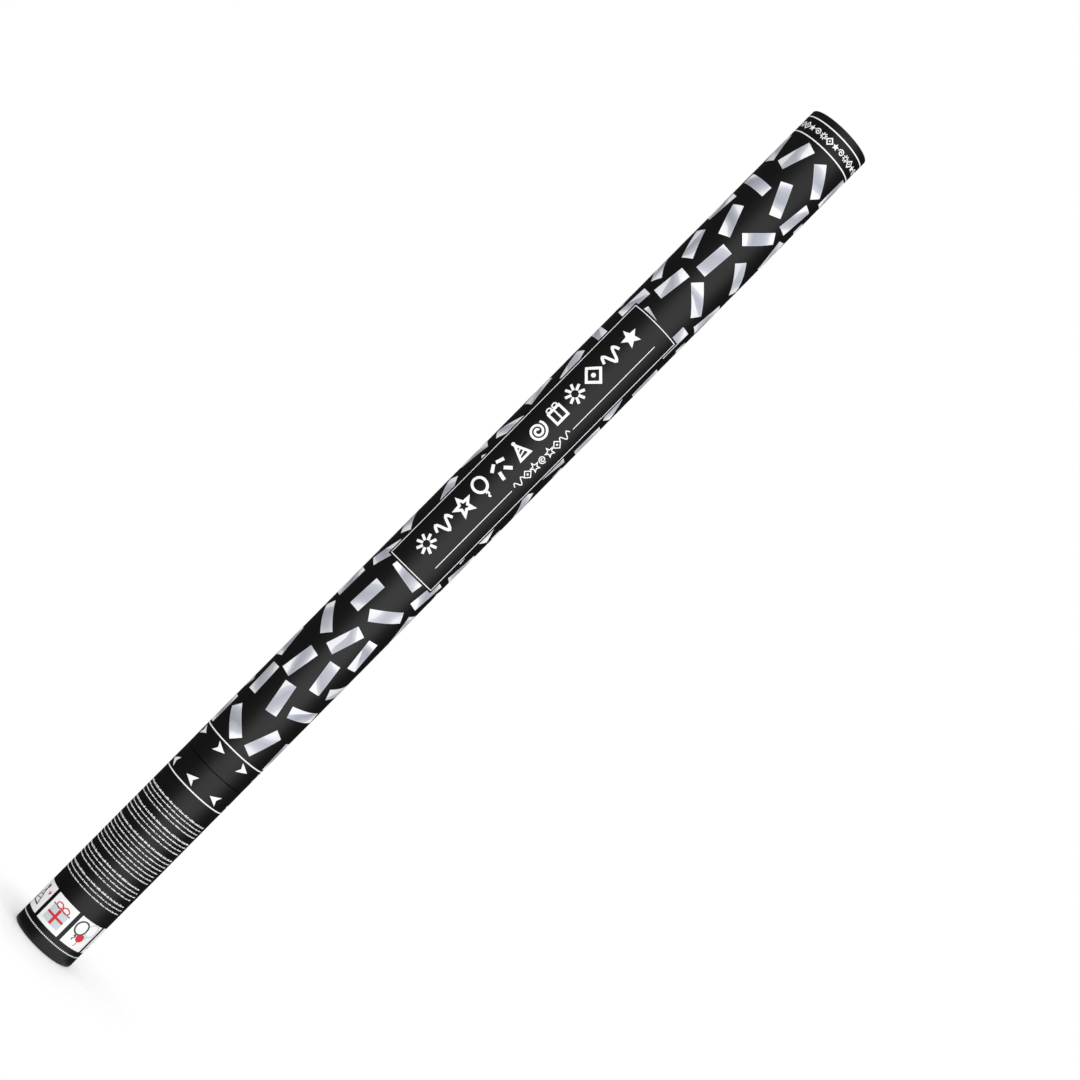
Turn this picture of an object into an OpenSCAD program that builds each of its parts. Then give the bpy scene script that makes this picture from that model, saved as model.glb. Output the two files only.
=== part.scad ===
// Twist-fired hand popper, 80 cm class: a printed board tube in two lengths that turn on
// each other. The grip holds an air cylinder and its valve; the barrel holds the foil slips.
// Z runs up the tube, z = 0 is the table that it stands on, and -Y is the printed front.

/* [Tube] */
// Height of the hand grip, from the table to the twist seam
grip_length = 170.8; // [165:0.2:190]
// Height of the barrel above the twist seam
barrel_length = 628.6; // [615:0.2:700]
// Open seam between grip and barrel
seam_gap = 0.6; // [0.2:0.1:1]
// Bore of the wound board tube
tube_bore = 48; // [46:0.5:54]
// Wall of the wound board tube
tube_wall = 1.5; // [1.2:0.1:3]
// Thickness of the printed paper wrap
wrap_t = 0.3; // [0.2:0.05:0.5]
// Depth to which the wrap is turned in at both ends
hem_depth = 8; // [5:0.5:12]
// Rounding of the wrapped end edges
edge_round = 1; // [0.8:0.1:1.2]

/* [Base plug] */
// Height of the foot ring under the web
foot_height = 3; // [2:0.5:6]
// Width of the flat foot ring
foot_width = 3.5; // [2:0.5:6]
// Thickness of the web that closes the tube
web_t = 2; // [1.5:0.5:4]
// Wall of the plug's skirt
plug_wall = 1.4; // [1:0.2:1.6]
// Height of the skirt above the web
plug_skirt_height = 19; // [12:1:24]
// Wall of the cup round the cylinder's foot
cup_wall = 1.2; // [1:0.1:1.6]
// Height of the cup above the web
cup_height = 11; // [6:1:16]
// Number of upright ribs between cup and skirt
plug_ribs = 12; // [6:1:16]
// Number of ribs under the web
foot_ribs = 6; // [3:1:10]
// Thickness of all ribs
rib_t = 1.2; // [0.8:0.1:2]
// Vent hole in the middle of the web
vent_d = 10; // [6:1:12]

/* [Air cylinder] */
// Outer diameter of the drawn cylinder
cyl_d = 40; // [38:0.5:41]
// Height of the cylinder with its curled neck
cyl_length = 115.5; // [105:0.5:117]
// Wall of the cylinder
cyl_wall = 0.8; // [0.5:0.1:1.2]
// Outer diameter of the neck
neck_d = 21; // [20:0.5:24]
// Thickness of the curled bead on the neck
curl_d = 3.4; // [3:0.2:4]
// Height of the sloping shoulder
shoulder_height = 12; // [8:1:16]
// Straight neck between shoulder and curl
neck_height = 5; // [4:0.5:8]
// Rise of the inverted dome in the bottom
dome_rise = 6; // [4:0.5:8]
// Filling hole in the dome
fill_d = 6; // [4:0.5:7]
// Thickness of the foam pad under the cylinder
pad_t = 1.5; // [1:0.5:3]
// Height of each foam centring ring
centring_height = 12; // [8:1:20]
// Height of the lower centring ring above the table
lower_ring_z = 32; // [30:1:40]
// Height of the upper centring ring above the table
upper_ring_z = 78; // [60:1:84]

/* [Neck joint] */
// Thickness of the neck gasket
gasket_t = 1.2; // [0.8:0.1:2]
// Thickness of the hub's neck flange
flange_t = 3.5; // [2.5:0.5:5]
// Sheet of the crimped ferrule
ferrule_t = 0.6; // [0.4:0.1:0.8]
// Inward reach of the ferrule's upper lip
lip_reach = 2.7; // [2:0.1:3]
// Space between the curled neck and the ferrule's wall
ferrule_space = 1.9; // [1.2:0.1:2.2]

/* [Valve] */
// Bore that the valve piston closes
valve_bore = 12.1; // [11.5:0.1:12.5]
// Length of the valve bore above the gasket
bore_length = 16; // [14:0.5:18]
// Outer diameter of the valve tower
tower_d = 20; // [19.6:0.1:20.4]
// Inner diameter of the tower above the bore
tower_inner_d = 16; // [15.6:0.1:16.4]
// Height of the tower above the hub's deck
tower_height = 30; // [28:1:32]
// Height of the air windows in the tower
window_height = 5; // [4:0.5:5]
// Width of the air windows
window_width = 8; // [5:0.5:9]
// Sill between the bore's top and the windows
window_sill = 0.8; // [0.5:0.1:1]
// Number of air windows
window_count = 4; // [3:1:4]
// Lift of the valve over a full twist
valve_lift = 6; // [4:0.5:6]
// Twist that opens the valve
twist_angle = 90; // [60:5:90]
// Depth of the piston's top below the bore's top
piston_drop = 0.5; // [0.3:0.1:0.8]
// Height of the piston
piston_height = 4.5; // [4:0.5:6]
// Thickness of the rubber ring in the piston
oring_d = 2; // [1.6:0.1:2.4]
// Thickness of the plug's guide wings
guide_t = 2.4; // [1.6:0.2:3]
// Stem of the valve plug
stem_d = 9.6; // [8:0.2:10]
// Height of the head above the pin
head_rise = 11; // [6:0.5:12]
// Thickness of the head
head_t = 2.5; // [1.5:0.5:4]
// Diameter of the steel cross pin
pin_d = 3; // [2.5:0.1:3.4]
// Length of the cross pin
pin_length = 28; // [26:0.5:28.2]
// Height of the cross pin above the hub's deck at rest
pin_rise = 15; // [14:0.5:17]

/* [Twist joint] */
// Height of the hub's waist between flange and deck plate
waist_height = 3; // [2:0.5:5]
// Waist diameter
waist_d = 24; // [22:0.5:24]
// Thickness of the hub's deck plate
plate_t = 4; // [3:0.5:6]
// Wall of the spigot that the barrel turns on
spigot_wall = 1.4; // [1.2:0.1:2]
// Height of the spigot above the hub's step
spigot_height = 21; // [16:1:26]
// Skirt wall of the rotor hub
rotor_wall = 1.9; // [1.6:0.1:2.4]
// Thickness of the thrust washer
washer_t = 1; // [0.6:0.1:1.6]
// Thickness of the retaining ring
snap_t = 1.6; // [1.2:0.1:2]
// Depth of the retaining ring's groove
groove_depth = 0.9; // [0.6:0.1:1]
// How far the retaining ring stands out of its groove
snap_stand = 0.8; // [0.5:0.1:1]
// Groove's distance below the top of the spigot
groove_drop = 3.2; // [2.5:0.1:5]
// Open angle of the retaining ring
snap_opening = 40; // [20:5:60]
// Space between spigot and rotor plate
rotor_headroom = 4; // [2:0.5:6]
// Thickness of the rotor plate
rotor_plate_t = 3; // [2:0.5:5]
// Height of the rotor skirt above its plate
rotor_rim = 10; // [6:1:12]
// Number of air vents in the rotor plate
rotor_vents = 6; // [4:1:8]
// Rim between the vents and the rotor skirt
vent_margin = 1.6; // [1.2:0.1:2]
// Width of a rotor vent outwards
vent_reach = 4; // [3:0.1:4.4]
// Part of the circle that the vents open
vent_share = 0.6; // [0.4:0.05:0.7]
// Air space between tower and driver sleeve
sleeve_space = 2; // [1.6:0.1:2.4]
// Wall of the driver sleeve
driver_wall = 2.2; // [1.8:0.1:2.4]
// Flange of the driver sleeve
driver_flange_d = 34; // [31:0.5:35]
// Thickness of that flange
driver_flange_t = 2; // [1.5:0.5:3]
// Open height under the driver sleeve
driver_rise = 7.8; // [6:0.2:10]

/* [Confetti charge] */
// Thickness of the foam sealing disc
seal_t = 6; // [4:0.5:8]
// Thickness of the board pressure wad
wad_t = 3; // [2:0.5:5]
// Free space between the packed slips and the lid
muzzle_space = 19.3; // [10:0.1:40]
// Width of a foil slip
slip_width = 12.5; // [11:0.1:12.8]
// Turn from one confetti layer to the next
layer_turn = 37; // [15:1:60]

/* [Muzzle lid] */
// Depth of the lid's top below the rim
lid_recess = 2.5; // [1:0.5:5]
// Thickness of the lid's top
lid_t = 1.2; // [0.8:0.1:2]
// Wall of the lid's skirt
lid_wall = 1; // [0.8:0.1:1.6]
// Height of the lid with its skirt
lid_height = 11.5; // [8:0.5:14]
// Number of grip ribs inside the skirt
lid_ribs = 8; // [4:1:12]

/* [Clearances] */
// Running clearance of shaft fits, on the radius
fit_gap = 0.1; // [0.05:0.05:0.15]
// Clearance of loose moving faces
run_gap = 0.3; // [0.2:0.05:0.4]
// Clearance of the charge in the bore, on the radius
charge_gap = 0.6; // [0.5:0.05:0.9]
// Clearance between seated pieces
seat_gap = 0.2; // [0.1:0.05:0.3]

/* [Hidden] */
LAYERS = 10;

$fn = 96;
CUT = 1;
LAP = 0.2;
ARC_STEPS = 6;

// Radii of the tube and what lines it
bore_r = tube_bore / 2;
tube_r = bore_r + tube_wall;
wrap_r = tube_r + wrap_t;
hem_r = bore_r - wrap_t;

// Heights of the tube's two lengths
grip_top = grip_length;
barrel_base = grip_top + seam_gap;
barrel_top = barrel_base + barrel_length;

// Heights of the cylinder and the neck joint
web_top = foot_height + web_t;
cyl_base = web_top + pad_t;
neck_top = cyl_base + cyl_length;
flange_base = neck_top + gasket_t;
flange_top = flange_base + flange_t;
plate_base = flange_top + waist_height;
deck = plate_base + plate_t;

// The cylinder's own radii
cyl_r = cyl_d / 2;
neck_r = neck_d / 2;
curl_r = neck_r - cyl_wall + curl_d / 2;
curl_outer = curl_r + curl_d / 2;
foot_round = 3;
cup_r = cyl_r + seat_gap;

// The ferrule that clamps neck and flange
ferrule_inner = curl_outer + ferrule_space;
ferrule_r = ferrule_inner + ferrule_t;
flange_r = ferrule_inner - seat_gap;

// The valve
valve_bore_r = valve_bore / 2;
bore_top = flange_base + bore_length;
tower_r = tower_d / 2;
tower_inner = tower_inner_d / 2;
window_base = bore_top + window_sill;
pin_z = deck + pin_rise;
slot_half = pin_d / 2 + seat_gap;
piston_top = bore_top - piston_drop;
piston_base = piston_top - piston_height;
piston_mid = (piston_top + piston_base) / 2;
piston_r = valve_bore_r - fit_gap;
guide_r = piston_r - fit_gap / 2;
guide_base = flange_base + run_gap;
head_r = tower_inner - run_gap;
head_base = pin_z + head_rise;
oring_r = oring_d / 2;
oring_mid = valve_bore_r - fit_gap / 2 - oring_r;
SLOT_STEPS = 14;

// The joint that the barrel turns on
spigot_r = bore_r - rotor_wall - fit_gap;
spigot_inner = spigot_r - spigot_wall;
rotor_base = grip_top;
step_z = rotor_base - run_gap - washer_t;
spigot_top = step_z + spigot_height;
groove_top = spigot_top - groove_drop;
groove_base = groove_top - snap_t - 2 * fit_gap;
groove_r = spigot_r - groove_depth;
snap_r = spigot_r + snap_stand;
recess_r = snap_r + run_gap;
rotor_inner = spigot_r + fit_gap;
rotor_plate_base = spigot_top + rotor_headroom;
rotor_plate_top = rotor_plate_base + rotor_plate_t;
rotor_top = rotor_plate_top + rotor_rim;
driver_inner = tower_r + sleeve_space;
driver_r = driver_inner + driver_wall;
driver_base = deck + driver_rise;
driver_flange_r = driver_flange_d / 2;
vent_outer = rotor_inner - vent_margin;
vent_inner = vent_outer - vent_reach;

// The lid
lid_r = hem_r - run_gap;
lid_top = barrel_top - lid_recess;
lid_base = lid_top - lid_height;

// The charge in the barrel, whose layers share the length under the lid
seal_r = bore_r - run_gap - fit_gap;
wad_r = bore_r - charge_gap + fit_gap;
charge_r = bore_r - charge_gap;
seal_base = rotor_top + seat_gap;
wad_base = seal_base + seal_t;
charge_base = wad_base + wad_t;
slip_length = (lid_base - muzzle_space - charge_base) / LAYERS;

board = "#8a7a66";
black_print = "#121214";
black_plastic = "#1b1b1d";
white_plastic = "#e4e2dc";
foam = "#d9d9d4";
bare_metal = "#b9bcc0";
foil = "#b3b6be";
rubber = "#2a2a2a";
brass_steel = "#9a9a98";

// Points on an arc round [x, y], from one angle to the other
function arc(x, y, r, from, to, steps = ARC_STEPS) =
    [for (i = [0:steps]) let (a = from + (to - from) * i / steps) [x + r * cos(a), y + r * sin(a)]];

// A plain ring on the axis
module ring(inner, outer, z, height)
    translate([0, 0, z]) rotate_extrude() translate([inner, 0]) square([outer - inner, height]);

// A wedge-shaped block of the given angle, used to cut rings
module sector(angle, r, z, height)
    translate([0, 0, z]) linear_extrude(height)
        polygon([[0, 0], for (i = [0:4]) r * [cos(angle * (i / 4 - 0.5)), sin(angle * (i / 4 - 0.5))]]);

// Board tube whose one end, at z = 0, has a rounded outer edge
module tube_length(height) {
    round_r = edge_round - wrap_t;
    rotate_extrude()
        polygon(concat([[bore_r, 0]], arc(tube_r - round_r, round_r, round_r, -90, 0),
            [[tube_r, height], [bore_r, height]]));
}

// Paper wrap of the same length, turned in over the end at z = 0
module wrap_length(height) {
    round_r = edge_round - wrap_t;
    outside = arc(wrap_r - edge_round, edge_round, edge_round, -90, 0);
    inside = arc(tube_r - round_r, edge_round, round_r, 0, -90);
    rotate_extrude()
        polygon(concat([[hem_r, 0]], outside, [[wrap_r, height], [tube_r, height]], inside,
            [[bore_r, wrap_t], [bore_r, hem_depth], [hem_r, hem_depth]]));
}

module grip_tube() color(board)
    translate([0, 0, wrap_t]) tube_length(grip_top - wrap_t);

module grip_wrap() color(black_print)
    wrap_length(grip_top);

module barrel_tube() color(board)
    translate([0, 0, barrel_top - wrap_t]) mirror([0, 0, 1]) tube_length(barrel_length - wrap_t);

module barrel_wrap() color(black_print)
    translate([0, 0, barrel_top]) mirror([0, 0, 1]) wrap_length(barrel_length);

// Moulded plug glued into the foot of the grip
module base_plug() color(black_plastic) {
    foot_inner = hem_r - foot_width;
    boss_r = vent_d / 2 + rib_t;
    foot_rib_drop = 0.8;
    rib_drop = 2;
    ring(foot_inner, hem_r, 0, foot_height);
    ring(vent_d / 2, hem_r, foot_height, web_t);
    ring(hem_r - plug_wall, hem_r, web_top, plug_skirt_height);
    ring(cup_r, cup_r + cup_wall, web_top, cup_height);
    ring(vent_d / 2, boss_r, foot_rib_drop, foot_height - foot_rib_drop);
    for (i = [0:foot_ribs - 1]) rotate(360 / foot_ribs * i)
        translate([boss_r - LAP, -rib_t / 2, foot_rib_drop])
            cube([foot_inner - boss_r + 2 * LAP, rib_t, foot_height - foot_rib_drop]);
    for (i = [0:plug_ribs - 1]) rotate(360 / plug_ribs * i)
        translate([cup_r + cup_wall - LAP, -rib_t / 2, web_top])
            cube([hem_r - plug_wall - cup_r - cup_wall + 2 * LAP, rib_t, cup_height - rib_drop]);
}

module cylinder_pad() color(foam)
    ring(vent_d / 2 + rib_t, cyl_r - seat_gap, web_top, pad_t);

// Drawn cylinder: standing rim, inverted dome, straight wall, shoulder, neck and curl
module air_cylinder() color(bare_metal) {
    rim_x = cyl_r - foot_round;
    shoulder_z = cyl_length - curl_d / 2 - neck_height - shoulder_height;
    neck_z = shoulder_z + shoulder_height;
    curl_z = cyl_length - curl_d / 2;
    bend = 4;
    dome_edge = dome_rise * 0.45;
    outside = concat(
        [[fill_d / 2, dome_rise], [rim_x - foot_round, dome_edge]],
        arc(rim_x, foot_round, foot_round, 200, 360, 10),
        arc(cyl_r - bend, shoulder_z, bend, 0, 50),
        [[neck_r, neck_z], [neck_r, curl_z]]);
    inside = concat(
        [[neck_r - cyl_wall, curl_z], [neck_r - cyl_wall, neck_z - cyl_wall / 2]],
        arc(cyl_r - bend, shoulder_z, bend - cyl_wall, 50, 0),
        arc(rim_x, foot_round, foot_round - cyl_wall, 360, 200, 10),
        [[rim_x - foot_round, dome_edge + cyl_wall], [fill_d / 2, dome_rise + cyl_wall]]);
    translate([0, 0, cyl_base]) {
        rotate_extrude() polygon(concat(outside, inside));
        translate([0, 0, curl_z]) rotate_extrude() translate([curl_r, 0]) circle(d = curl_d, $fn = 32);
    }
}

// Rubber bung pressed through the filling hole
module fill_bung() color(rubber) {
    head_over = 1.4;
    bung_head_t = 1.4;
    ring(0, fill_d / 2, cyl_base + dome_rise - bung_head_t, cyl_wall + 2 * bung_head_t);
    ring(fill_d / 2 - LAP, fill_d / 2 + head_over, cyl_base + dome_rise + cyl_wall, bung_head_t);
}

module centring_ring(z) color(foam)
    ring(cyl_r, bore_r, z, centring_height);

module neck_gasket() color(rubber)
    ring(curl_r - curl_d / 2, curl_outer, neck_top, gasket_t);

// Sheet ferrule rolled under the curl and over the flange
module crimp_ferrule() color(bare_metal) {
    curl_base = neck_top - curl_d;
    lip_inner = neck_r + run_gap;
    ring(lip_inner, ferrule_r, curl_base - ferrule_t, ferrule_t);
    ring(ferrule_inner, ferrule_r, curl_base - ferrule_t, flange_top + 2 * ferrule_t - curl_base);
    ring(ferrule_inner - lip_reach, ferrule_r, flange_top, ferrule_t);
}

// Small round holes along a helix, which make the cam slot in the tower
module cam_slot(start) {
    for (i = [0:SLOT_STEPS]) rotate(start + twist_angle * i / SLOT_STEPS)
        translate([0, 0, pin_z + valve_lift * i / SLOT_STEPS]) rotate([0, 90, 0])
            cylinder(r = slot_half, h = tower_r + CUT, $fn = 24);
}

// Fixed half of the twist joint, with the valve bore and its tower
module stator_hub() color(white_plastic) {
    relief_h = 4;
    relief_d = 0.4;
    wall_height = step_z - plate_base;
    window_half = window_width / 2;
    difference() {
        union() {
            ring(valve_bore_r, flange_r, flange_base, flange_t);
            ring(valve_bore_r, waist_d / 2, flange_top, waist_height);
            ring(valve_bore_r, bore_r, plate_base, plate_t);
            ring(spigot_inner, bore_r, plate_base, wall_height);
            ring(spigot_inner, spigot_r, step_z, spigot_height);
            ring(valve_bore_r, tower_r, deck, bore_top - deck);
            ring(tower_inner, tower_r, deck, tower_height);
        }
        ring(groove_r, bore_r + CUT, groove_base, groove_top - groove_base);
        for (share = [0.25, 0.7])
            ring(bore_r - relief_d, bore_r + CUT, plate_base + wall_height * share, relief_h);
        for (i = [0:window_count - 1]) rotate(45 + 360 / window_count * i)
            translate([0, -window_half, window_base]) cube([tower_r + CUT, window_width, window_height]);
        cam_slot(0);
        cam_slot(180);
    }
}

module thrust_washer() color(white_plastic)
    ring(rotor_inner, bore_r - fit_gap, step_z, washer_t);

// Open spring ring that holds the barrel on its spigot
module retaining_ring() color(brass_steel)
    difference() {
        ring(groove_r, snap_r, groove_base + fit_gap, snap_t);
        rotate(90) sector(snap_opening, snap_r * 2, groove_base - CUT, snap_t + 2 * CUT);
    }

// Turning half of the twist joint, glued into the foot of the barrel
module rotor_hub() color(white_plastic) {
    vent_angle = 360 / rotor_vents * vent_share;
    difference() {
        union() {
            ring(rotor_inner, bore_r - charge_gap, rotor_base, seam_gap + CUT);
            ring(rotor_inner, bore_r, barrel_base, rotor_top - barrel_base);
            ring(driver_r, bore_r - rotor_wall / 2, rotor_plate_base, rotor_plate_t);
        }
        ring(rotor_inner - CUT, recess_r, groove_base - seat_gap, groove_top - groove_base + 2 * seat_gap);
        for (i = [0:rotor_vents - 1]) rotate(360 / rotor_vents * i)
            intersection() {
                ring(vent_inner, vent_outer, rotor_plate_base - CUT, rotor_plate_t + 2 * CUT);
                sector(vent_angle, bore_r * 2, rotor_plate_base - CUT, rotor_plate_t + 2 * CUT);
            }
    }
}

// Sleeve in the rotor plate whose two upright slots carry the cross pin round
module driver_sleeve() color(black_plastic)
    difference() {
        union() {
            ring(driver_inner, driver_r, driver_base, rotor_plate_top + driver_flange_t - driver_base);
            ring(driver_inner, driver_flange_r, rotor_plate_top, driver_flange_t);
        }
        for (side = [0, 180]) rotate(side) {
            translate([0, -slot_half, pin_z]) cube([driver_r + CUT, 2 * slot_half, valve_lift]);
            for (z = [pin_z, pin_z + valve_lift]) translate([0, 0, z]) rotate([0, 90, 0])
                cylinder(r = slot_half, h = driver_r + CUT, $fn = 24);
        }
    }

// Valve plug: winged guide, grooved piston, stem with the pin's cross bore, and head
module valve_plug() color(white_plastic)
    difference() {
        union() {
            for (turn = [0, 90]) intersection() {
                ring(0, guide_r, guide_base, piston_base - guide_base + LAP);
                rotate(turn) translate([-guide_r, -guide_t / 2, guide_base])
                    cube([2 * guide_r, guide_t, piston_base - guide_base + LAP]);
            }
            ring(0, piston_r, piston_base, piston_height);
            ring(0, stem_d / 2, piston_top - LAP, head_base - piston_top + 2 * LAP);
            ring(0, head_r, head_base, head_t);
        }
        ring(oring_mid - oring_r, piston_r + CUT, piston_mid - oring_r, oring_d);
        translate([-stem_d, 0, pin_z]) rotate([0, 90, 0]) cylinder(d = pin_d, h = 2 * stem_d);
    }

module plug_o_ring() color(rubber)
    translate([0, 0, piston_mid]) rotate_extrude()
        translate([oring_mid, 0]) circle(r = oring_r, $fn = 32);

module cross_pin() color(brass_steel)
    translate([-pin_length / 2, 0, pin_z]) rotate([0, 90, 0]) cylinder(d = pin_d, h = pin_length);

module sealing_disc() color(foam)
    ring(0, seal_r, seal_base, seal_t);

module pressure_wad() color(board)
    ring(0, wad_r, wad_base, wad_t);

// One layer of upright slips, packed as a middle stack between two side stacks
module confetti_layer(index) color(foil) {
    middle_half = slip_width / 2;
    side_far = middle_half + seat_gap + slip_width;
    middle_depth = 2 * sqrt(pow(charge_r, 2) - pow(middle_half, 2));
    side_depth = 2 * sqrt(pow(charge_r, 2) - pow(side_far, 2));
    translate([0, 0, charge_base + slip_length * index]) rotate(layer_turn * index) {
        translate([-middle_half, -middle_depth / 2, 0]) cube([slip_width, middle_depth, slip_length]);
        for (side = [0, 180]) rotate(side) translate([side_far - slip_width, -side_depth / 2, 0])
            cube([slip_width, side_depth, slip_length]);
    }
}

// Moulded lid pushed into the muzzle
module muzzle_lid() color(black_plastic) {
    rib_depth = 1.6;
    rib_start = 2;
    ring(0, lid_r, lid_top - lid_t, lid_t);
    ring(lid_r - lid_wall, lid_r, lid_base, lid_height);
    for (i = [0:lid_ribs - 1]) rotate(360 / lid_ribs * i)
        translate([lid_r - lid_wall - rib_depth, -rib_t / 2, lid_base + rib_start])
            cube([rib_depth + lid_wall / 2, rib_t, lid_height - rib_start - lid_t / 2]);
}

grip_tube();
grip_wrap();
base_plug();
cylinder_pad();
air_cylinder();
fill_bung();
centring_ring(lower_ring_z);  // lower_centring_ring
centring_ring(upper_ring_z);  // upper_centring_ring
neck_gasket();
crimp_ferrule();
stator_hub();
thrust_washer();
retaining_ring();
barrel_tube();
barrel_wrap();
rotor_hub();
driver_sleeve();
valve_plug();
plug_o_ring();
cross_pin();
sealing_disc();
pressure_wad();
confetti_layer(0);  // confetti_layer_01
confetti_layer(1);  // confetti_layer_02
confetti_layer(2);  // confetti_layer_03
confetti_layer(3);  // confetti_layer_04
confetti_layer(4);  // confetti_layer_05
confetti_layer(5);  // confetti_layer_06
confetti_layer(6);  // confetti_layer_07
confetti_layer(7);  // confetti_layer_08
confetti_layer(8);  // confetti_layer_09
confetti_layer(9);  // confetti_layer_10
muzzle_lid();
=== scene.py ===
# %% [markdown]
# # A twist-fired confetti popper
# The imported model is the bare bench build: two lengths of board tube that turn on each other,
# an air cylinder, a valve and a column of foil slips. This lesson gives each piece the finish
# that it has in a shop. The frame is loaded first and is never moved. Where a piece begins and
# ends is read from it, so each finish lands on the piece that it belongs to.

# %% Load the frame
import math
import random

import bmesh
import bpy
import numpy as np
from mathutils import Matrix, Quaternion, Vector


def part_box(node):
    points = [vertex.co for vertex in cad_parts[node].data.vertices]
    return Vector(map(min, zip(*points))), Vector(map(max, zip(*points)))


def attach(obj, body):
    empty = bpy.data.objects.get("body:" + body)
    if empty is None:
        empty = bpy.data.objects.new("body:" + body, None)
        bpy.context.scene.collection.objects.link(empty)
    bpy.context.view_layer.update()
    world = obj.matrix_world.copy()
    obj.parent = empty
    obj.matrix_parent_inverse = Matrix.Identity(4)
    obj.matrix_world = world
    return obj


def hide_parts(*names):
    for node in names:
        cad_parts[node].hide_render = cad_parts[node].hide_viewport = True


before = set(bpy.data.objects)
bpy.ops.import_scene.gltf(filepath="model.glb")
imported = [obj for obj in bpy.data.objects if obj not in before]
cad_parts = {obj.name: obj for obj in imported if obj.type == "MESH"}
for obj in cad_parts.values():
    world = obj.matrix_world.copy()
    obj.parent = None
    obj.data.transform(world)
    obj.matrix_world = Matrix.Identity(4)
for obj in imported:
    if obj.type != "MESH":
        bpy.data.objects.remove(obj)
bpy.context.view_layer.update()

MM = 0.001
scene = bpy.context.scene
print("nodes:", len(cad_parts))

# %% [markdown]
# ## Sizes that the pieces share
# A tube is described by few sizes: where its lengths begin and end, and the radii of paper, board
# and hem. They are kept in millimetres, because a maker thinks in them, and turned to metres
# only where a mesh is made.

# %% Sizes read from the frame


def reach(node):
    """Radius, lowest and highest point of a round node, in millimetres."""
    low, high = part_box(node)
    return high.x / MM, low.z / MM, high.z / MM


_, grip_foot, grip_top = reach("grip_wrap")
paper_r, barrel_foot, barrel_top = reach("barrel_wrap")
board_r = reach("barrel_tube")[0]
hem_r = reach("base_plug")[0]
girth = 2 * math.pi * paper_r
half_girth = girth / 2
degree = girth / 360
print(f"tube {2 * paper_r:.1f} mm across, {barrel_top - grip_foot:.0f} mm tall, seam at {grip_top:.1f} mm")

# %% [markdown]
# ## The camera
# The portrait shows the standing tube with the camera rolled, so that the tube runs corner to
# corner. The lens is a short telephoto: from about two tube lengths away, it shows a little of
# the perspective that makes the muzzle end smaller. The roll is a turn about the line of sight.

# %% Camera and view
CAMERA_PLACE = (0, -1.6607, 0.3914)
CAMERA_TARGET = (0.0502, 0, 0.4455)
CAMERA_ROLL = math.radians(44.66)
FOCAL_LENGTH = 78.23
SENSOR_WIDTH = 36


def aim(thing, place, target, roll=0.0):
    """Puts a camera or lamp at a place, looking at a target, turned about its line of sight."""
    thing.location = place
    thing.rotation_mode = "QUATERNION"
    look = (Vector(target) - Vector(place)).to_track_quat("-Z", "Y")
    thing.rotation_quaternion = look @ Quaternion((0, 0, 1), roll)


def place_new(name, data):
    """A new object for this data, in the scene."""
    made = bpy.data.objects.new(name, data)
    scene.collection.objects.link(made)
    return made


lens = bpy.data.cameras.new("portrait_lens")
lens.lens = FOCAL_LENGTH
lens.sensor_width = SENSOR_WIDTH
camera = place_new("portrait_camera", lens)
aim(camera, CAMERA_PLACE, CAMERA_TARGET, CAMERA_ROLL)
scene.camera = camera
scene.view_settings.view_transform = "Standard"
print("camera is", round(Vector(CAMERA_PLACE).length, 2), "m from the foot of the tube")

# %% [markdown]
# ## Nodes by hand
# Every material and every Geometry Nodes tree below is put together in code. One small function
# adds a node: its first argument is the tree, its second the kind, then the values or links of
# its inputs by place or by name, and last its settings.
#
# Colours are written as sRGB hex values, as a printer or a paint maker would give them, and one
# function turns them to the linear values that Blender calculates with.

# %% Helpers for nodes and colours
MATH = "ShaderNodeMath"
MIX = "ShaderNodeMix"

# Map Range takes by place the value, the two ends that it is read between, and the two new ends
RANGE = "ShaderNodeMapRange"


def add(tree, kind, inputs=(), **settings):
    """Adds a node. Its inputs are numbers, colours, sockets or whole nodes, by place or by name."""
    node = tree.nodes.new(kind)
    for name, value in settings.items():
        setattr(node, name, value)
    for name, value in (inputs if isinstance(inputs, dict) else dict(enumerate(inputs))).items():
        if isinstance(value, bpy.types.Node):
            value = value.outputs[0]
        if isinstance(value, bpy.types.NodeSocket):
            tree.links.new(value, node.inputs[name])
        else:
            node.inputs[name].default_value = value
    return node


def linear(hex_colour):
    """Linear RGBA from an sRGB hex colour such as #9c9fa9."""
    parts = [int(hex_colour[i : i + 2], 16) / 255 for i in (1, 3, 5)]
    return [p / 12.92 if p <= 0.04045 else ((p + 0.055) / 1.055) ** 2.4 for p in parts] + [1.0]


WHITE = linear("#ffffff")
print("mid grey is", [round(c, 3) for c in linear("#808080")[:3]])

# %% [markdown]
# ## Light
# The portrait was lit by a broad soft box on the right, which lays a wide soft streak down the
# black film. A streak on a cylinder lies half way between lens and lamp, so a box from 15 degrees
# left of the lens to 70 right of it streaks the film from its middle to 35 degrees. It is about
# as bright as white paper, and close, which makes it large. Two weaker lamps keep the other sides
# from going flat. The fill is there for matt surfaces alone, or it would lay a second streak.

# %% Lamps


def soft_box(name, azimuth, distance, height, size, watts):
    """A tall soft box that looks level at the tube's axis. Azimuth 0 is the camera's side."""
    lamp = bpy.data.lights.new(name, "AREA")
    lamp.shape = "RECTANGLE"
    lamp.size, lamp.size_y = size
    lamp.energy = watts
    turn = math.radians(azimuth)
    box = place_new(name, lamp)
    aim(box, (distance * math.sin(turn), -distance * math.cos(turn), height), (0, 0, height))
    return box


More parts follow.
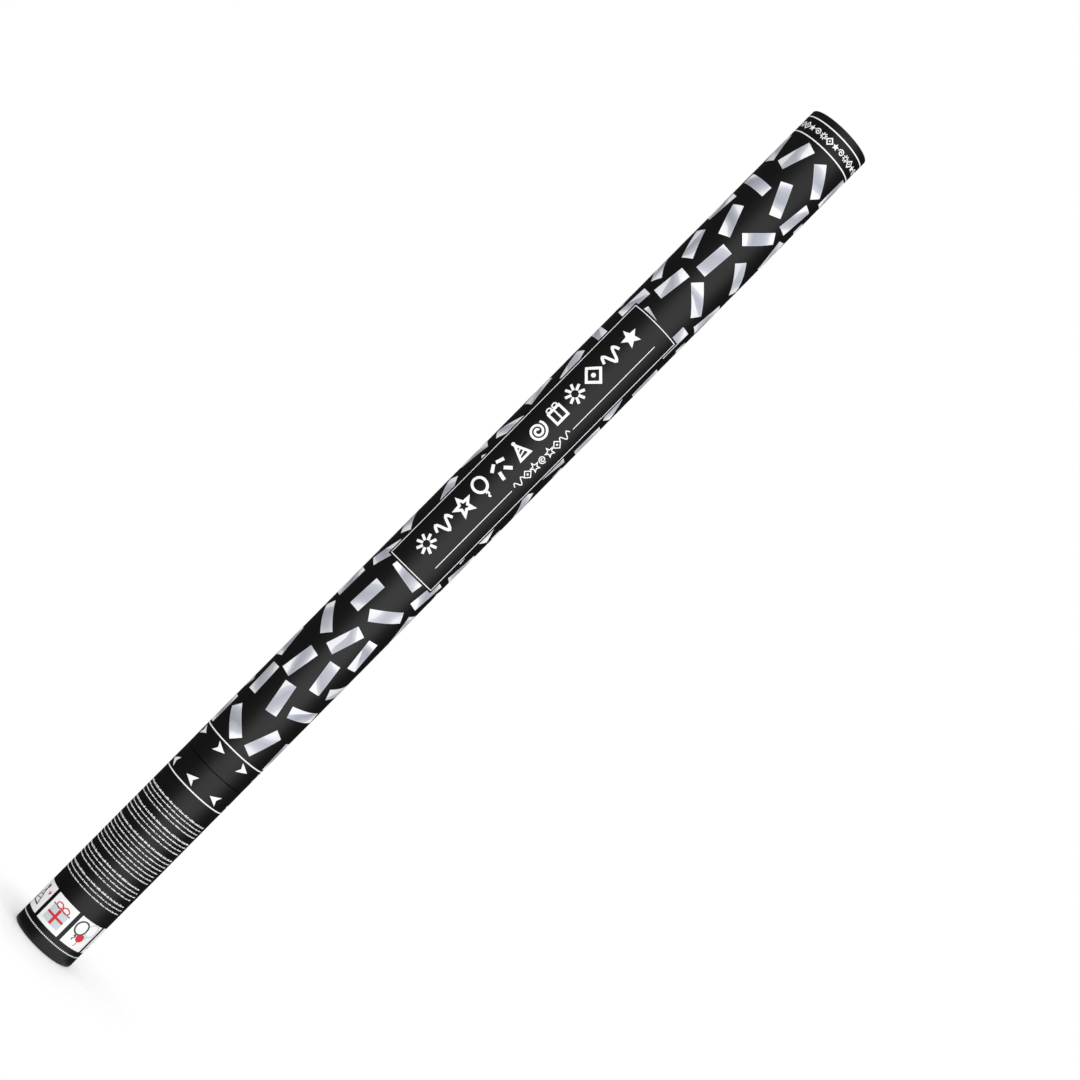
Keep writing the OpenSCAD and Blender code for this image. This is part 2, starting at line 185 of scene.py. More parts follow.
soft_box("key_softbox", azimuth=28, distance=0.95, height=0.64, size=(1.65, 1.25), watts=8.5)
soft_box("back_softbox", azimuth=180, distance=1.2, height=0.64, size=(0.5, 1.25), watts=3.6)
fill = soft_box("fill_softbox", azimuth=-62, distance=2.4, height=0.5, size=(1.0, 1.7), watts=6)
fill.visible_glossy = False
print("lamps:", len(bpy.data.lights))

# %% [markdown]
# ## The room
# The world is white to the camera and to reflections, and a plain grey to matt surfaces, so a
# colour renders about as it is written. A Light Path node tells these rays apart, here and on the
# floor.

# %% World
MATT_LIGHT = 0.62


def emptied(owner):
    """Turns on the nodes of a material or world, and hands back its tree with nothing in it."""
    owner.use_nodes = True
    owner.node_tree.nodes.clear()
    return owner.node_tree


def straight_rays(tree):
    """1 for what the camera, a mirror or a glass sees, and 0 for the light on matt surfaces."""
    path = add(tree, "ShaderNodeLightPath")
    seen = path.outputs["Is Camera Ray"]
    for ray in ("Is Glossy Ray", "Is Transmission Ray"):
        seen = add(tree, MATH, (seen, path.outputs[ray]), operation="MAXIMUM")
    return seen


scene.world = bpy.data.worlds.new("white_studio")
tree = emptied(scene.world)
matt = add(tree, "ShaderNodeBackground", (WHITE, MATT_LIGHT))
white = add(tree, "ShaderNodeBackground", (WHITE, 1.0))
both = add(tree, "ShaderNodeMixShader", (straight_rays(tree), matt, white))
add(tree, "ShaderNodeOutputWorld", (both,))
print("the world lights matt surfaces at", MATT_LIGHT)

# %% [markdown]
# ## The floor
# The tube stands on a white floor. Close to the foot it is a matt surface that takes the soft
# contact shadow, and a hand's width out it has turned into the same white as the world, so that no
# horizon shows. Seen from below it lets the view through, so the foot can be looked at.

# %% Floor
FLOOR_SIZE = 12
FLOOR_DROP = 0.0002
SHADOW_IN = 0.03
SHADOW_OUT = 0.10
FLOOR_LIFT = 0.22

half = FLOOR_SIZE / 2
floor_mesh = bpy.data.meshes.new("floor")
corners = [(half * x, half * y, 0) for x, y in ((-1, -1), (1, -1), (1, 1), (-1, 1))]
floor_mesh.from_pydata(corners, [], [(0, 1, 2, 3)])
floor = place_new("floor", floor_mesh)
floor.location.z = -FLOOR_DROP
paint = bpy.data.materials.new("matt_white_floor_paint")
tree = emptied(paint)
place = add(tree, "ShaderNodeTexCoord").outputs["Object"]
away = add(tree, "ShaderNodeVectorMath", (place,), operation="LENGTH")
fade = add(tree, RANGE, (away.outputs["Value"], SHADOW_IN, SHADOW_OUT), interpolation_type="SMOOTHSTEP")
matt = add(tree, "ShaderNodeBsdfDiffuse", (linear("#f2f2f2"),))
lift = add(tree, "ShaderNodeEmission", (WHITE, FLOOR_LIFT))
near = add(tree, "ShaderNodeAddShader", (matt, lift))
far = add(tree, "ShaderNodeEmission", (WHITE, 1.0))
shown = add(tree, "ShaderNodeMixShader", (fade, near, far))
lit = add(tree, "ShaderNodeMixShader", (straight_rays(tree), matt, shown))
clear = add(tree, "ShaderNodeBsdfTransparent")
under = add(tree, "ShaderNodeNewGeometry").outputs["Backfacing"]
out = add(tree, "ShaderNodeMixShader", (under, lit, clear))
add(tree, "ShaderNodeOutputMaterial", (out,))
floor_mesh.materials.append(paint)
print("floor is", FLOOR_SIZE, "m wide")

# %% [markdown]
# ## Black cards
# Film as black as this would show the white room as a pale edge on both sides of the tube. A
# photographer stands black cards round such a thing, and lays black cloth about its foot, with a
# gap in front of the soft box where the white floor carries the streak on down. Here they are one
# open drum of dark grey, a little lighter on the left, which only reflections see.

# %% A drum of black cards
DRUM_R = 1.4
DRUM_HIGH = 2.4
CLOTH_R = 0.028
CLOTH_LIFT = 0.0004
DRUM_STEP = 5
CLOTH_GAP = (-15, 70)
CARD_LEFT = 0.09
CARD_RIGHT = 0.02

azimuths = range(-180, 180, DRUM_STEP)
corners = []
for radius, z in ((CLOTH_R, CLOTH_LIFT), (DRUM_R, CLOTH_LIFT), (DRUM_R, DRUM_HIGH)):
    for azimuth in azimuths:
        turn = math.radians(azimuth)
        corners.append((radius * math.sin(turn), -radius * math.cos(turn), z))
sides = len(azimuths)
faces = []
for n, azimuth in enumerate(azimuths):
    after = (n + 1) % sides
    faces.append((sides + n, sides + after, 2 * sides + after, 2 * sides + n))
    if not CLOTH_GAP[0] <= azimuth < CLOTH_GAP[1]:
        faces.append((n, after, sides + after, sides + n))
drum_mesh = bpy.data.meshes.new("black_cards")
drum_mesh.from_pydata(corners, [], faces)
drum = place_new("black_cards", drum_mesh)
velvet = bpy.data.materials.new("black_velvet_card")
tree = emptied(velvet)
place = add(tree, "ShaderNodeTexCoord").outputs["Object"]
across = add(tree, "ShaderNodeSeparateXYZ", (place,)).outputs["X"]
shade = add(tree, RANGE, (across, -DRUM_R, DRUM_R, CARD_LEFT, CARD_RIGHT))
glow = add(tree, "ShaderNodeEmission", {"Strength": shade})
add(tree, "ShaderNodeOutputMaterial", (glow,))
drum_mesh.materials.append(velvet)
for ray in ("camera", "diffuse", "transmission", "volume_scatter", "shadow"):
    setattr(drum, "visible_" + ray, False)
print("the drum of cards is", 2 * DRUM_R, "m across")

# %% [markdown]
# ## Finishes
# Most finishes here are one recipe with other numbers: two close colours mixed by a fine grain, a
# roughness that follows the same grain, and a bump of a few thousandths of a millimetre. The
# grain's size is written in real millimetres. A stretch makes it longer on one axis, as draw
# marks on metal are.

# %% The shared recipe
NOISE_REACH = (0.3, 0.7)


def shader_of(material):
    """The shader of a finish, whose sockets set its gloss."""
    return material.node_tree.nodes["Principled BSDF"]


def finish(name, colours, roughness, grain, bump, stretch=(1, 1, 1), metallic=0.0, specular=0.5):
    """A material with grain and bump of a real size in millimetres."""
    made = bpy.data.materials.new(name)
    made.use_nodes = True
    tree = made.node_tree
    shader = shader_of(made)
    shader.inputs["Metallic"].default_value = metallic
    shader.inputs["Specular IOR Level"].default_value = specular
    place = add(tree, "ShaderNodeTexCoord").outputs["Object"]
    scaled = add(tree, "ShaderNodeMapping", {"Vector": place, "Scale": [1 / (s * MM) for s in stretch]})
    noise = add(tree, "ShaderNodeTexNoise", {"Vector": scaled, "Scale": 1 / grain, "Detail": 3.0})
    colour = add(tree, MIX, {0: noise, 6: linear(colours[0]), 7: linear(colours[1])}, data_type="RGBA")
    rough = add(tree, RANGE, (noise, *NOISE_REACH, *roughness))
    relief = add(tree, "ShaderNodeBump", {"Height": noise, "Distance": bump * MM, "Strength": 1.0})
    tree.links.new(colour.outputs[2], shader.inputs["Base Color"])
    tree.links.new(rough.outputs[0], shader.inputs["Roughness"])
    tree.links.new(relief.outputs[0], shader.inputs["Normal"])
    return made


print("the recipe reads its noise from", NOISE_REACH[0], "to", NOISE_REACH[1])

# %% [markdown]
# The recipe makes every plain finish of this object. Each is named for what it is and for how its
# surface was made. Two close colours come first, then the roughness at both ends of the grain,
# the grain and the depth of the bump.

# %% Plain finishes

# Film laminated over black-printed paper, as on book covers. The film is smooth but follows the
# fibres underneath, which makes the streak of light soft.
FILM_GLOSS = (0.46, 0.52)
black_film = finish("laminated_black_paper", ("#070708", "#0b0b0c"), FILM_GLOSS, 0.5, 0.003)

# Inks under the same film: the white of the design, and those of the small pictures on the grip
white_ink = finish("white_ink_under_film", ("#f4f4f4", "#fafafa"), FILM_GLOSS, 0.5, 0.002)
grey_ink = finish("grey_ink_under_film", ("#35373a", "#3f4144"), FILM_GLOSS, 0.5, 0.002)
red_ink = finish("red_ink_under_film", ("#d3212e", "#dd2b37"), FILM_GLOSS, 0.5, 0.002)
pale_ink = finish("pale_blue_ink_under_film", ("#c4d3d8", "#cedce0"), FILM_GLOSS, 0.5, 0.002)

# The white core of the paper, which shows only where it was cut
paper_core = finish("cut_paper_core", ("#8f8c86", "#a5a29b"), (0.8, 0.9), 0.2, 0.01, specular=0.2)

# Spirally wound grey board: paper plies with visible fibres
wound_board = finish("wound_grey_board", ("#85776a", "#9b8d7d"), (0.75, 0.9), 0.35, 0.02, (1, 1, 2.5),
                     specular=0.08)

# Injection moulded ABS with a fine spark-eroded texture
black_abs = finish("moulded_black_abs", ("#121213", "#19191a"), (0.42, 0.52), 0.25, 0.006)

# Moulded acetal and turned nylon. Acetal is slightly translucent and waxy.
white_acetal = finish("moulded_white_acetal", ("#e4e2dc", "#ebe9e4"), (0.35, 0.42), 0.6, 0.004)
shader_of(white_acetal).inputs["Subsurface Weight"].default_value = 0.1
shader_of(white_acetal).inputs["Subsurface Radius"].default_value = (0.002, 0.002, 0.0015)
natural_nylon = finish("turned_natural_nylon", ("#d8d2c0", "#e2ddcd"), (0.3, 0.4), 0.4, 0.004)

# Drawn and ironed aluminium: fine draw marks run up the wall
drawn_aluminium = finish("drawn_aluminium", ("#b4b7bb", "#c6c9cc"), (0.24, 0.36), 0.12, 0.002, (1, 1, 60),
                         metallic=1.0)

# Hardened spring steel, ground and oiled, with a slight brown tint
spring_steel = finish("ground_spring_steel", ("#8d8a86", "#a19e99"), (0.22, 0.34), 0.2, 0.002, (1, 1, 6),
                      metallic=1.0)

# Nitrile rubber with talc left from moulding
nitrile_rubber = finish("moulded_nitrile_rubber", ("#232323", "#333333"), (0.55, 0.75), 0.3, 0.01,
                        specular=0.3)

# Pulp board of the wad, punched from a sheet
pulp_board = finish("punched_pulp_board", ("#8e8779", "#a39b8c"), (0.85, 0.95), 0.5, 0.03, specular=0.2)
print("materials, with the floor's and the cards':", len(bpy.data.materials))

# %% [markdown]
# ## More than the recipe
# Some finishes need another colour laid over the recipe's, by a share that a few nodes work out.
#
# - The film is scuffed where hands and tables touch it, at both ends.
# - Wound board shows the spiral joint of its plies. It is a line in the plane of height and angle.
# - At the twist seam the board's cut ends and the hub between them are coloured near black. This is
#   painted shade for the narrow gap, so that the seam hardly shows.

# %% Wear on the film, the spiral joint of the board, and painted shade at the seam
EDGE_WEAR = (0.1, 1.0)
SCUFF = 3
SCUFF_EDGE = (0.5, 0.72)
SCUFF_SHARE = 0.4
SEAM_SHADE = (1.6, 2.0)
PLY_PITCH = 72
PLY_LINE = 0.5


def tint(material, share, colour):
    """Lays a hex colour or the colours of a node over a finish, by a share from 0 to 1."""
    tree = material.node_tree
    socket = shader_of(material).inputs["Base Color"]
    over = linear(colour) if isinstance(colour, str) else colour
    mixed = add(tree, MIX, {0: share, 6: socket.links[0].from_socket, 7: over}, data_type="RGBA")
    tree.links.new(mixed.outputs[2], socket)


def close_to(tree, level, full, none):
    """1 nearer to a height than the first distance and 0 past the second, all in millimetres."""
    place = add(tree, "ShaderNodeTexCoord").outputs["Object"]
    off = add(tree, "ShaderNodeSeparateXYZ", (place,)).outputs["Z"]
    off = add(tree, MATH, (off, level * MM), operation="SUBTRACT")
    off = add(tree, MATH, (off,), operation="ABSOLUTE")
    return add(tree, RANGE, (off, full * MM, none * MM, 1.0, 0.0))


tree = black_film.node_tree
worn = [close_to(tree, edge, *EDGE_WEAR) for edge in (grip_foot, barrel_top)]
worn = add(tree, MATH, worn, operation="MAXIMUM")
place = add(tree, "ShaderNodeTexCoord").outputs["Object"]
patchy = add(tree, "ShaderNodeTexNoise", {"Vector": place, "Scale": 1 / (SCUFF * MM), "Detail": 4.0})
patchy = add(tree, RANGE, (patchy, *SCUFF_EDGE, 0.0, SCUFF_SHARE))
tint(black_film, add(tree, MATH, (worn, patchy), operation="MULTIPLY"), "#303031")

tree = wound_board.node_tree
place = add(tree, "ShaderNodeTexCoord").outputs["Object"]
x, y, z = add(tree, "ShaderNodeSeparateXYZ", (place,)).outputs
turn = add(tree, MATH, (y, x), operation="ARCTAN2")
turn = add(tree, MATH, (turn, 1 / (2 * math.pi)), operation="MULTIPLY")
climb = add(tree, MATH, (z, 1 / (PLY_PITCH * MM), turn), operation="MULTIPLY_ADD")
climb = add(tree, MATH, (climb,), operation="FRACT")
joint = add(tree, RANGE, (climb, 0.0, PLY_LINE / PLY_PITCH, 1.0, 0.0))
tint(wound_board, joint, "#4d443b")

# Painted shade: near black laid on the board and the hub close to the seam height, where the narrow gap is in
# shade
seam = (grip_top + barrel_foot) / 2
for material in (wound_board, white_acetal):
    tint(material, close_to(material.node_tree, seam, *SEAM_SHADE), "#0c0c0d")
print("one ply of the board climbs", PLY_PITCH, "mm in a turn")

# %% [markdown]
# Foam has closed cells, so its bump is a cell pattern instead of a grain. The knife cuts the
# cells open, and what is left of each is a small hollow.

# %% Foam cells
FOAM_CELL = 0.7
CELL_DEPTH = 0.12

# EVA foam, closed cells cut open at the surface
eva_foam = finish("cut_eva_foam", ("#dcdcd8", "#e8e8e4"), (0.8, 0.95), 0.8, 0.01, specular=0.2)
tree = eva_foam.node_tree
place = add(tree, "ShaderNodeTexCoord").outputs["Object"]
cells = add(tree, "ShaderNodeTexVoronoi", {"Vector": place, "Scale": 1 / (FOAM_CELL * MM)},
            feature="SMOOTH_F1")
relief = add(tree, "ShaderNodeBump", {"Height": cells, "Distance": CELL_DEPTH * MM, "Strength": 1.0})
tree.links.new(relief.outputs[0], shader_of(eva_foam).inputs["Normal"])
print("foam cell", FOAM_CELL, "mm")

# %% [markdown]
# Foil is a metal film as thin as a hair. It wrinkles, a painted highlight whitens the ends of
# a slip, and rubbing leaves a fine web of scratches. The painted highlight is read from the height
# within a layer, and the web from the borders of a cell pattern whose places are bent by a noise.

# %% Foil
WRINKLE = 9
WRINKLE_DEPTH = 0.8
SCRATCH = 0.25
# The white near the ends of each foil slip is a painted highlight: its cloud size, its cloud depth and its
# share
FOIL_HIGHLIGHT = 11
FOIL_HIGHLIGHT_CLOUD = 0.9
FOIL_HIGHLIGHT_SHARE = 0.8
WEB = 1.3
WEB_BEND = 1.5
WEB_LINE = 0.16
WEB_SHARE = 0.8
PAINTED_HIGHLIGHT_SHADES = [(0.36, "#8b8e93"), (0.4, "#95989d"), (0.43, "#ffffff"), (0.5, "#f2f3f5"), (0.58, "#c3c6ca"),
               (1.0, "#bfc2c7")]


def set_shades(ramp, shades):
    """Gives a colour ramp its shades, from pairs of a position and a hex colour."""
    stops = ramp.color_ramp.elements
    while len(stops) < len(shades):
        stops.new(0.5)
    for stop, (position, shade) in zip(stops, shades):
        stop.position = position
        stop.color = linear(shade)


# Metallised polyester foil: a mirror coat, dulled to satin grey by the scratches of the cutter, so
# that a part of the light is scattered as from paint, and bright where it mirrors a lamp
silver_foil = finish("metallised_polyester_foil", ("#c2c5ca", "#dfe1e5"), (0.22, 0.36), SCRATCH, 0.002,
                     (1, 1, 12), metallic=0.5)
tree = silver_foil.node_tree
place = add(tree, "ShaderNodeTexCoord").outputs["Object"]
creases = add(tree, "ShaderNodeTexNoise", {"Vector": place, "Scale": 1 / (WRINKLE * MM), "Detail": 2.0})
relief = add(tree, "ShaderNodeBump", {"Height": creases, "Distance": WRINKLE_DEPTH * MM, "Strength": 0.7})
tree.links.new(relief.outputs[0], shader_of(silver_foil).inputs["Normal"])

# Painted highlight: near its ends a slip is coloured white with a cloudy edge, and a darker smoky
# tone behind it, for the light that a slip bent by the packing mirrors there. The level is 0 at
# the ends of a layer and a half in its middle.
layer_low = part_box("confetti_layer_01")[0].z
layer_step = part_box("confetti_layer_02")[0].z - layer_low
level = add(tree, "ShaderNodeSeparateXYZ", (place,)).outputs["Z"]
for operation, by in (("SUBTRACT", layer_low), ("DIVIDE", layer_step), ("PINGPONG", 0.5)):
    level = add(tree, MATH, (level, by), operation=operation)
painted_highlight = add(tree, "ShaderNodeTexNoise", {"Vector": place, "Scale": 1 / (FOIL_HIGHLIGHT * MM), "Detail": 3.0})
painted_highlight = add(tree, MATH, (painted_highlight, FOIL_HIGHLIGHT_CLOUD, level), operation="MULTIPLY_ADD")
ramp = add(tree, "ShaderNodeValToRGB", (painted_highlight,))
set_shades(ramp, PAINTED_HIGHLIGHT_SHADES)
tint(silver_foil, FOIL_HIGHLIGHT_SHARE, ramp)

# In between, rubbing leaves a fine web of scratches. Their width is a share of the web's cell.
bent = add(tree, "ShaderNodeTexNoise", {"Vector": place, "Scale": 1 / (WEB_BEND * MM), "Detail": 2.0})
bent = add(tree, "ShaderNodeVectorMath", (bent.outputs["Color"], (WEB * MM,) * 3), operation="MULTIPLY")
bent = add(tree, "ShaderNodeVectorMath", (bent, place), operation="ADD")
web = add(tree, "ShaderNodeTexVoronoi", {"Vector": bent, "Scale": 1 / (WEB * MM)}, feature="DISTANCE_TO_EDGE")
web = add(tree, RANGE, (web, 0.0, WEB_LINE, WEB_SHARE, 0.0))
tint(silver_foil, web, "#ffffff")
print("foil wrinkle", WRINKLE, "mm, scratches", WEB, "mm apart")

# %% [markdown]
# ## Silver ink
# The printed slips are a picture of foil, in silver ink under the film. Each is grey-lilac with
# one or both ends nearly white, and some are split by a bright patch with a slanting edge, as a
# bent mirror shows. The mesh of the print carries an attribute "slip" with three numbers: how far
# along the slip, how far across it, and a random number that is its own. The ink reads them.

# %% The ink of the printed slips
CLOUD = 14
CLOUD_SHARE = 0.5
LEAN = 1.3
PATCH_SLANT = 0.55
PATCH_EDGE = (0.98, 1.03)
PATCH_CHOSEN = (0.52, 0.56)
PATCH_SHARE = 0.9
RIM_EDGE = (0.42, 0.5)
RIM_SHARE = 0.45
PALE_SHARE = 0.5
SILVER_SHADES = [(0.0, "#ffffff"), (0.15, "#eff0f4"), (0.21, "#c3c6ce"), (0.42, "#9ea1ac"), (0.66, "#a8abb5"),
                 (0.84, "#c0c3cb"), (0.92, "#dcdee4"), (1.0, "#f5f6f8")]

silver_ink = finish("silver_ink_under_film", ("#9397a2", "#a2a5af"), FILM_GLOSS, 1.5, 0.002)
tree = silver_ink.node_tree
slip = add(tree, "ShaderNodeAttribute", attribute_name="slip")
along, across, own = add(tree, "ShaderNodeSeparateXYZ", (slip.outputs["Vector"],)).outputs

# A slow cloud and a lean bend the shades a little, so that no two slips look alike
place = add(tree, "ShaderNodeTexCoord").outputs["Object"]
cloud = add(tree, "ShaderNodeTexNoise", {"Vector": place, "Scale": 1 / (CLOUD * MM), "Detail": 0.5})
cloud, side, lean = (add(tree, MATH, (part, 0.5), operation="SUBTRACT") for part in (cloud, across, own))
lean = add(tree, MATH, (side, lean), operation="MULTIPLY")
reading = add(tree, MATH, (cloud, CLOUD_SHARE, along), operation="MULTIPLY_ADD")
reading = add(tree, MATH, (lean, LEAN, reading), operation="MULTIPLY_ADD")
ramp = add(tree, "ShaderNodeValToRGB", (reading,))
set_shades(ramp, SILVER_SHADES)
tree.links.new(ramp.outputs["Color"], shader_of(silver_ink).inputs["Base Color"])

# A slanting bright wedge, on the slips whose own number is over a half
slant = add(tree, MATH, (across, PATCH_SLANT, reading), operation="MULTIPLY_ADD")
patch = add(tree, RANGE, (slant, *PATCH_EDGE))
chosen = add(tree, RANGE, (own, *PATCH_CHOSEN, 0.0, PATCH_SHARE))
tint(silver_ink, add(tree, MATH, (patch, chosen), operation="MULTIPLY"), "#eff0f4")

# A cut slip is lightest right at its long edges
rim = add(tree, MATH, (side,), operation="ABSOLUTE")
tint(silver_ink, add(tree, RANGE, (rim, *RIM_EDGE, 0.0, RIM_SHARE)), "#dfe1e7")

# Some slips are a little lighter all over. Seven times their own number gives a second random one.
pale = add(tree, MATH, (own, 7.0), operation="MULTIPLY")
pale = add(tree, MATH, (pale,), operation="FRACT")
tint(silver_ink, add(tree, MATH, (pale, PALE_SHARE), operation="MULTIPLY"), "#c3c6ce")
print("silver ink has", len(SILVER_SHADES), "shades")

# %% [markdown]
# ## Trees that make the pieces
# Most of this object follows a rule: a wrap is a folded strip turned round the axis, a print is a
# flat drawing bent round the paper, and ribs are one rib repeated. Geometry Nodes hold such rules
# well, because one tree serves many pieces, and its inputs are the sizes that a maker would
# change.
#
# One helper starts a tree with named inputs and one ends it. The last one runs a tree on a start
# mesh and keeps the plain mesh that comes out, so that no modifier is left on a finished piece. A
# mesh that came out inside out is turned round there, by its signed volume.

# %% Start, end and run a tree


def new_tree(name, **sizes):
    """A Geometry Nodes tree with a mesh in, a mesh out, a material and these inputs by kind."""
    tree = bpy.data.node_groups.new(name, "GeometryNodeTree")
    tree.is_modifier = True
    tree.interface.new_socket("Mesh", in_out="OUTPUT", socket_type="NodeSocketGeometry")
    for label, kind in {"Mesh": "Geometry", "Material": "Material", **sizes}.items():
        tree.interface.new_socket(label, in_out="INPUT", socket_type="NodeSocket" + kind)
    return tree, tree.nodes.new("NodeGroupInput").outputs


def end_tree(tree, given, shape):
    """Realises the shape, gives it the material and hands it on."""
    whole = add(tree, "GeometryNodeRealizeInstances", (shape,))
    painted = add(tree, "GeometryNodeSetMaterial", {"Geometry": whole, "Material": given["Material"]})
    add(tree, "NodeGroupOutput", (painted,))


def mesh_of(name, shape):
    """A mesh of this name from an edited shape, which is then let go."""
    mesh = bpy.data.meshes.new(name)
    shape.to_mesh(mesh)
    shape.free()
    return mesh


def settle(mesh, sharp):
    """Turns faces outwards by the signed volume, and shades smooth up to a sharp angle in degrees."""
    shape = bmesh.new()
    shape.from_mesh(mesh)
    if shape.calc_volume(signed=True) < 0:
        bmesh.ops.reverse_faces(shape, faces=shape.faces)
    shape.to_mesh(mesh)
    shape.free()
    mesh.shade_smooth()
    mesh.set_sharp_from_angle(angle=math.radians(sharp))


def run_tree(name, tree, mesh, material, sharp=35, **sizes):
    """Runs a tree on a mesh, and keeps what comes out as a plain mesh in an object of this name."""
    piece = place_new(name, mesh)
    growth = piece.modifiers.new("growth", "NODES")
    growth.node_group = tree
    for socket in tree.interface.items_tree:
        if socket.in_out == "INPUT" and socket.name != "Mesh":
            growth[socket.identifier] = material if socket.name == "Material" else sizes[socket.name]
    graph = bpy.context.evaluated_depsgraph_get()
    piece.data = bpy.data.meshes.new_from_object(
        piece.evaluated_get(graph), preserve_all_data_layers=True, depsgraph=graph)
    piece.modifiers.clear()
    bpy.data.meshes.remove(mesh)
    piece.data.name = name
    settle(piece.data, sharp)
    return piece


print("trees are made with new_tree, end_tree and run_tree")

# %% [markdown]
# A finished piece is fixed to the body that it rides on. Where it takes the place of a packed
# node, it says which one, and that node is hidden.

# %% Join pieces, and fix them to a body


def joined(name, pieces):
    """Several pieces made one."""
    with bpy.context.temp_override(active_object=pieces[0], selected_editable_objects=pieces):
        bpy.ops.object.join()
    pieces[0].name = pieces[0].data.name = name
    return pieces[0]


def fixed(piece, body, node=None):
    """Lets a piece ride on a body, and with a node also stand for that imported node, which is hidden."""
    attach(piece, body)
    if node:
        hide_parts(node)
    print(piece.name, len(piece.data.polygons), "faces")


print("pieces are joined with joined, and fixed to a body with fixed")

# %% [markdown]
# ## A lathe
# The first tree turns a closed outline of a wall round the axis. It could be Blender's Screw
# modifier, but this tree can also pleat a part of the wall: paper that is turned in over an edge
# has to lie in small folds there, because its cut edge is longer than the circle that it lies on.
# A grid gives the rows and columns. Each of its points looks up its place on the outline.

# %% The lathe tree
SAME_PLACE = 1e-6


def round_axis(tree, turn, radius, height):
    """A place by its turn from the front, its radius and its height."""
    sine = add(tree, MATH, (turn,), operation="SINE")
    right = add(tree, MATH, (radius, sine), operation="MULTIPLY")
    cosine = add(tree, MATH, (turn,), operation="COSINE")
    front = add(tree, MATH, (radius, cosine), operation="MULTIPLY")
    front = add(tree, MATH, (front, -1.0), operation="MULTIPLY")
    return add(tree, "ShaderNodeCombineXYZ", (right, front, height))


lathe, given = new_tree("lathe", segments="Int", points="Int", pleats="Int", pleat_depth="Float")
columns = add(lathe, MATH, (given["segments"], 1.0), operation="ADD")
grid = add(lathe, "GeometryNodeMeshGrid", {"Vertices X": columns, "Vertices Y": given["points"]})
index = add(lathe, "GeometryNodeInputIndex")
row = add(lathe, MATH, (index, given["points"]), operation="MODULO")
column = add(lathe, MATH, (index, given["points"]), operation="DIVIDE")
column = add(lathe, MATH, (column,), operation="FLOOR")
turn = add(lathe, MATH, (column, given["segments"]), operation="DIVIDE")
turn = add(lathe, MATH, (turn, 2 * math.pi), operation="MULTIPLY")

corner = add(lathe, "GeometryNodeInputPosition")
share = add(lathe, "GeometryNodeInputNamedAttribute", {"Name": "pleat"}, data_type="FLOAT")
corner, share = (
    add(lathe, "GeometryNodeSampleIndex", {"Geometry": given["Mesh"], "Value": value, "Index": row},
        data_type=kind)
    for value, kind in ((corner, "FLOAT_VECTOR"), (share, "FLOAT")))
out, _, up = add(lathe, "ShaderNodeSeparateXYZ", (corner,)).outputs
fold = add(lathe, MATH, (turn, given["pleats"]), operation="MULTIPLY")
fold = add(lathe, MATH, (fold, math.pi), operation="PINGPONG")
fold = add(lathe, MATH, (fold, given["pleat_depth"]), operation="MULTIPLY")
radius = add(lathe, MATH, (fold, share, out), operation="MULTIPLY_ADD")
place = round_axis(lathe, turn, radius, up)
shape = add(lathe, "GeometryNodeSetPosition", {"Geometry": grid, "Position": place})
shape = add(lathe, "GeometryNodeMergeByDistance", {"Geometry": shape, "Distance": SAME_PLACE})
end_tree(lathe, given, shape)
print("the lathe has", len(lathe.nodes), "nodes")

# %% [markdown]
# An outline is a list of corners in the plane of radius and height, as on a turner's drawing. No
# moulded or cut piece has a sharp corner, so one helper rounds all of them at once. It rounds no
# more than the sides allow, which lets one radius serve thick walls and thin ones.

# %% Outlines for the lathe
SIDE_SHARE = 0.45


def bend(centre, radius, start, end, steps):
    """Points on an arc, in millimetres, with its angles in degrees."""
    turns = [math.radians(start + (end - start) * n / steps) for n in range(steps + 1)]
    return [(centre[0] + radius * math.cos(t), centre[1] + radius * math.sin(t)) for t in turns]


def filleted(corners, radius, steps=3):
    """A closed outline whose corners are rounded as far as their sides allow."""
    points = []
    for n, here in enumerate(corners):
        here = Vector(here)
        sides = [Vector(corners[n - 1]) - here, Vector(corners[(n + 1) % len(corners)]) - here]
        cut = min(radius, *(SIDE_SHARE * side.length for side in sides))
        start, end = (here + side.normalized() * cut for side in sides)
        for step in range(steps + 1):
            t = step / steps
            points.append(tuple(start * (1 - t) ** 2 + here * (2 * t * (1 - t)) + end * t**2))
    return points


def turned(name, outline, material, segments=128, pleated=None, pleats=0, pleat_depth=0.0, sharp=35):
    """A body of revolution from the closed outline of its wall. Its points are (radius, height)."""
    points = outline + outline[:1]
    mesh = bpy.data.meshes.new(name)
    mesh.from_pydata([(r * MM, 0, z * MM) for r, z in points], [], [])
    if pleated:
        share = mesh.attributes.new("pleat", "FLOAT", "POINT")
        share.data.foreach_set("value", [pleated(r, z) for r, z in points])
    return run_tree(name, lathe, mesh, material, sharp, segments=segments, points=len(points),
                    pleats=pleats, pleat_depth=pleat_depth * MM / math.pi)


print("a quarter bend of 1 mm in six steps starts", [round(c, 2) for c in bend((0, 0), 1, 0, 90, 6)[1]])

# %% [markdown]
# ## The paper wraps
# Each length of tube is dressed in one printed sheet that is turned in over the open end, so the
# end shows a soft rolled edge and inside it a pleated hem. At the seam the sheet is cut flush.
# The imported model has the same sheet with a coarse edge. Here it is turned again with a finer
# one, 256 sides round, because its outline against the white background is what shows most.

# %% Grip wrap and barrel wrap
SHEET = 0.26
EDGE_ROUND = 1.0
HEM_ROUND = 0.6
HEM_DEPTH = 8
HEM_PLEATS = 64
PLEAT_DEPTH = 0.12
CUT_CHAMFER = 0.12
EASE = 0.3
PAPER_CLEAR = 0.02
INK_ROOM = 0.06
WRAP_SIDES = 256

wrap_outer = paper_r - INK_ROOM
wrap_inner = board_r + PAPER_CLEAR
hem_inner = hem_r + PAPER_CLEAR
hem_back = hem_r + SHEET


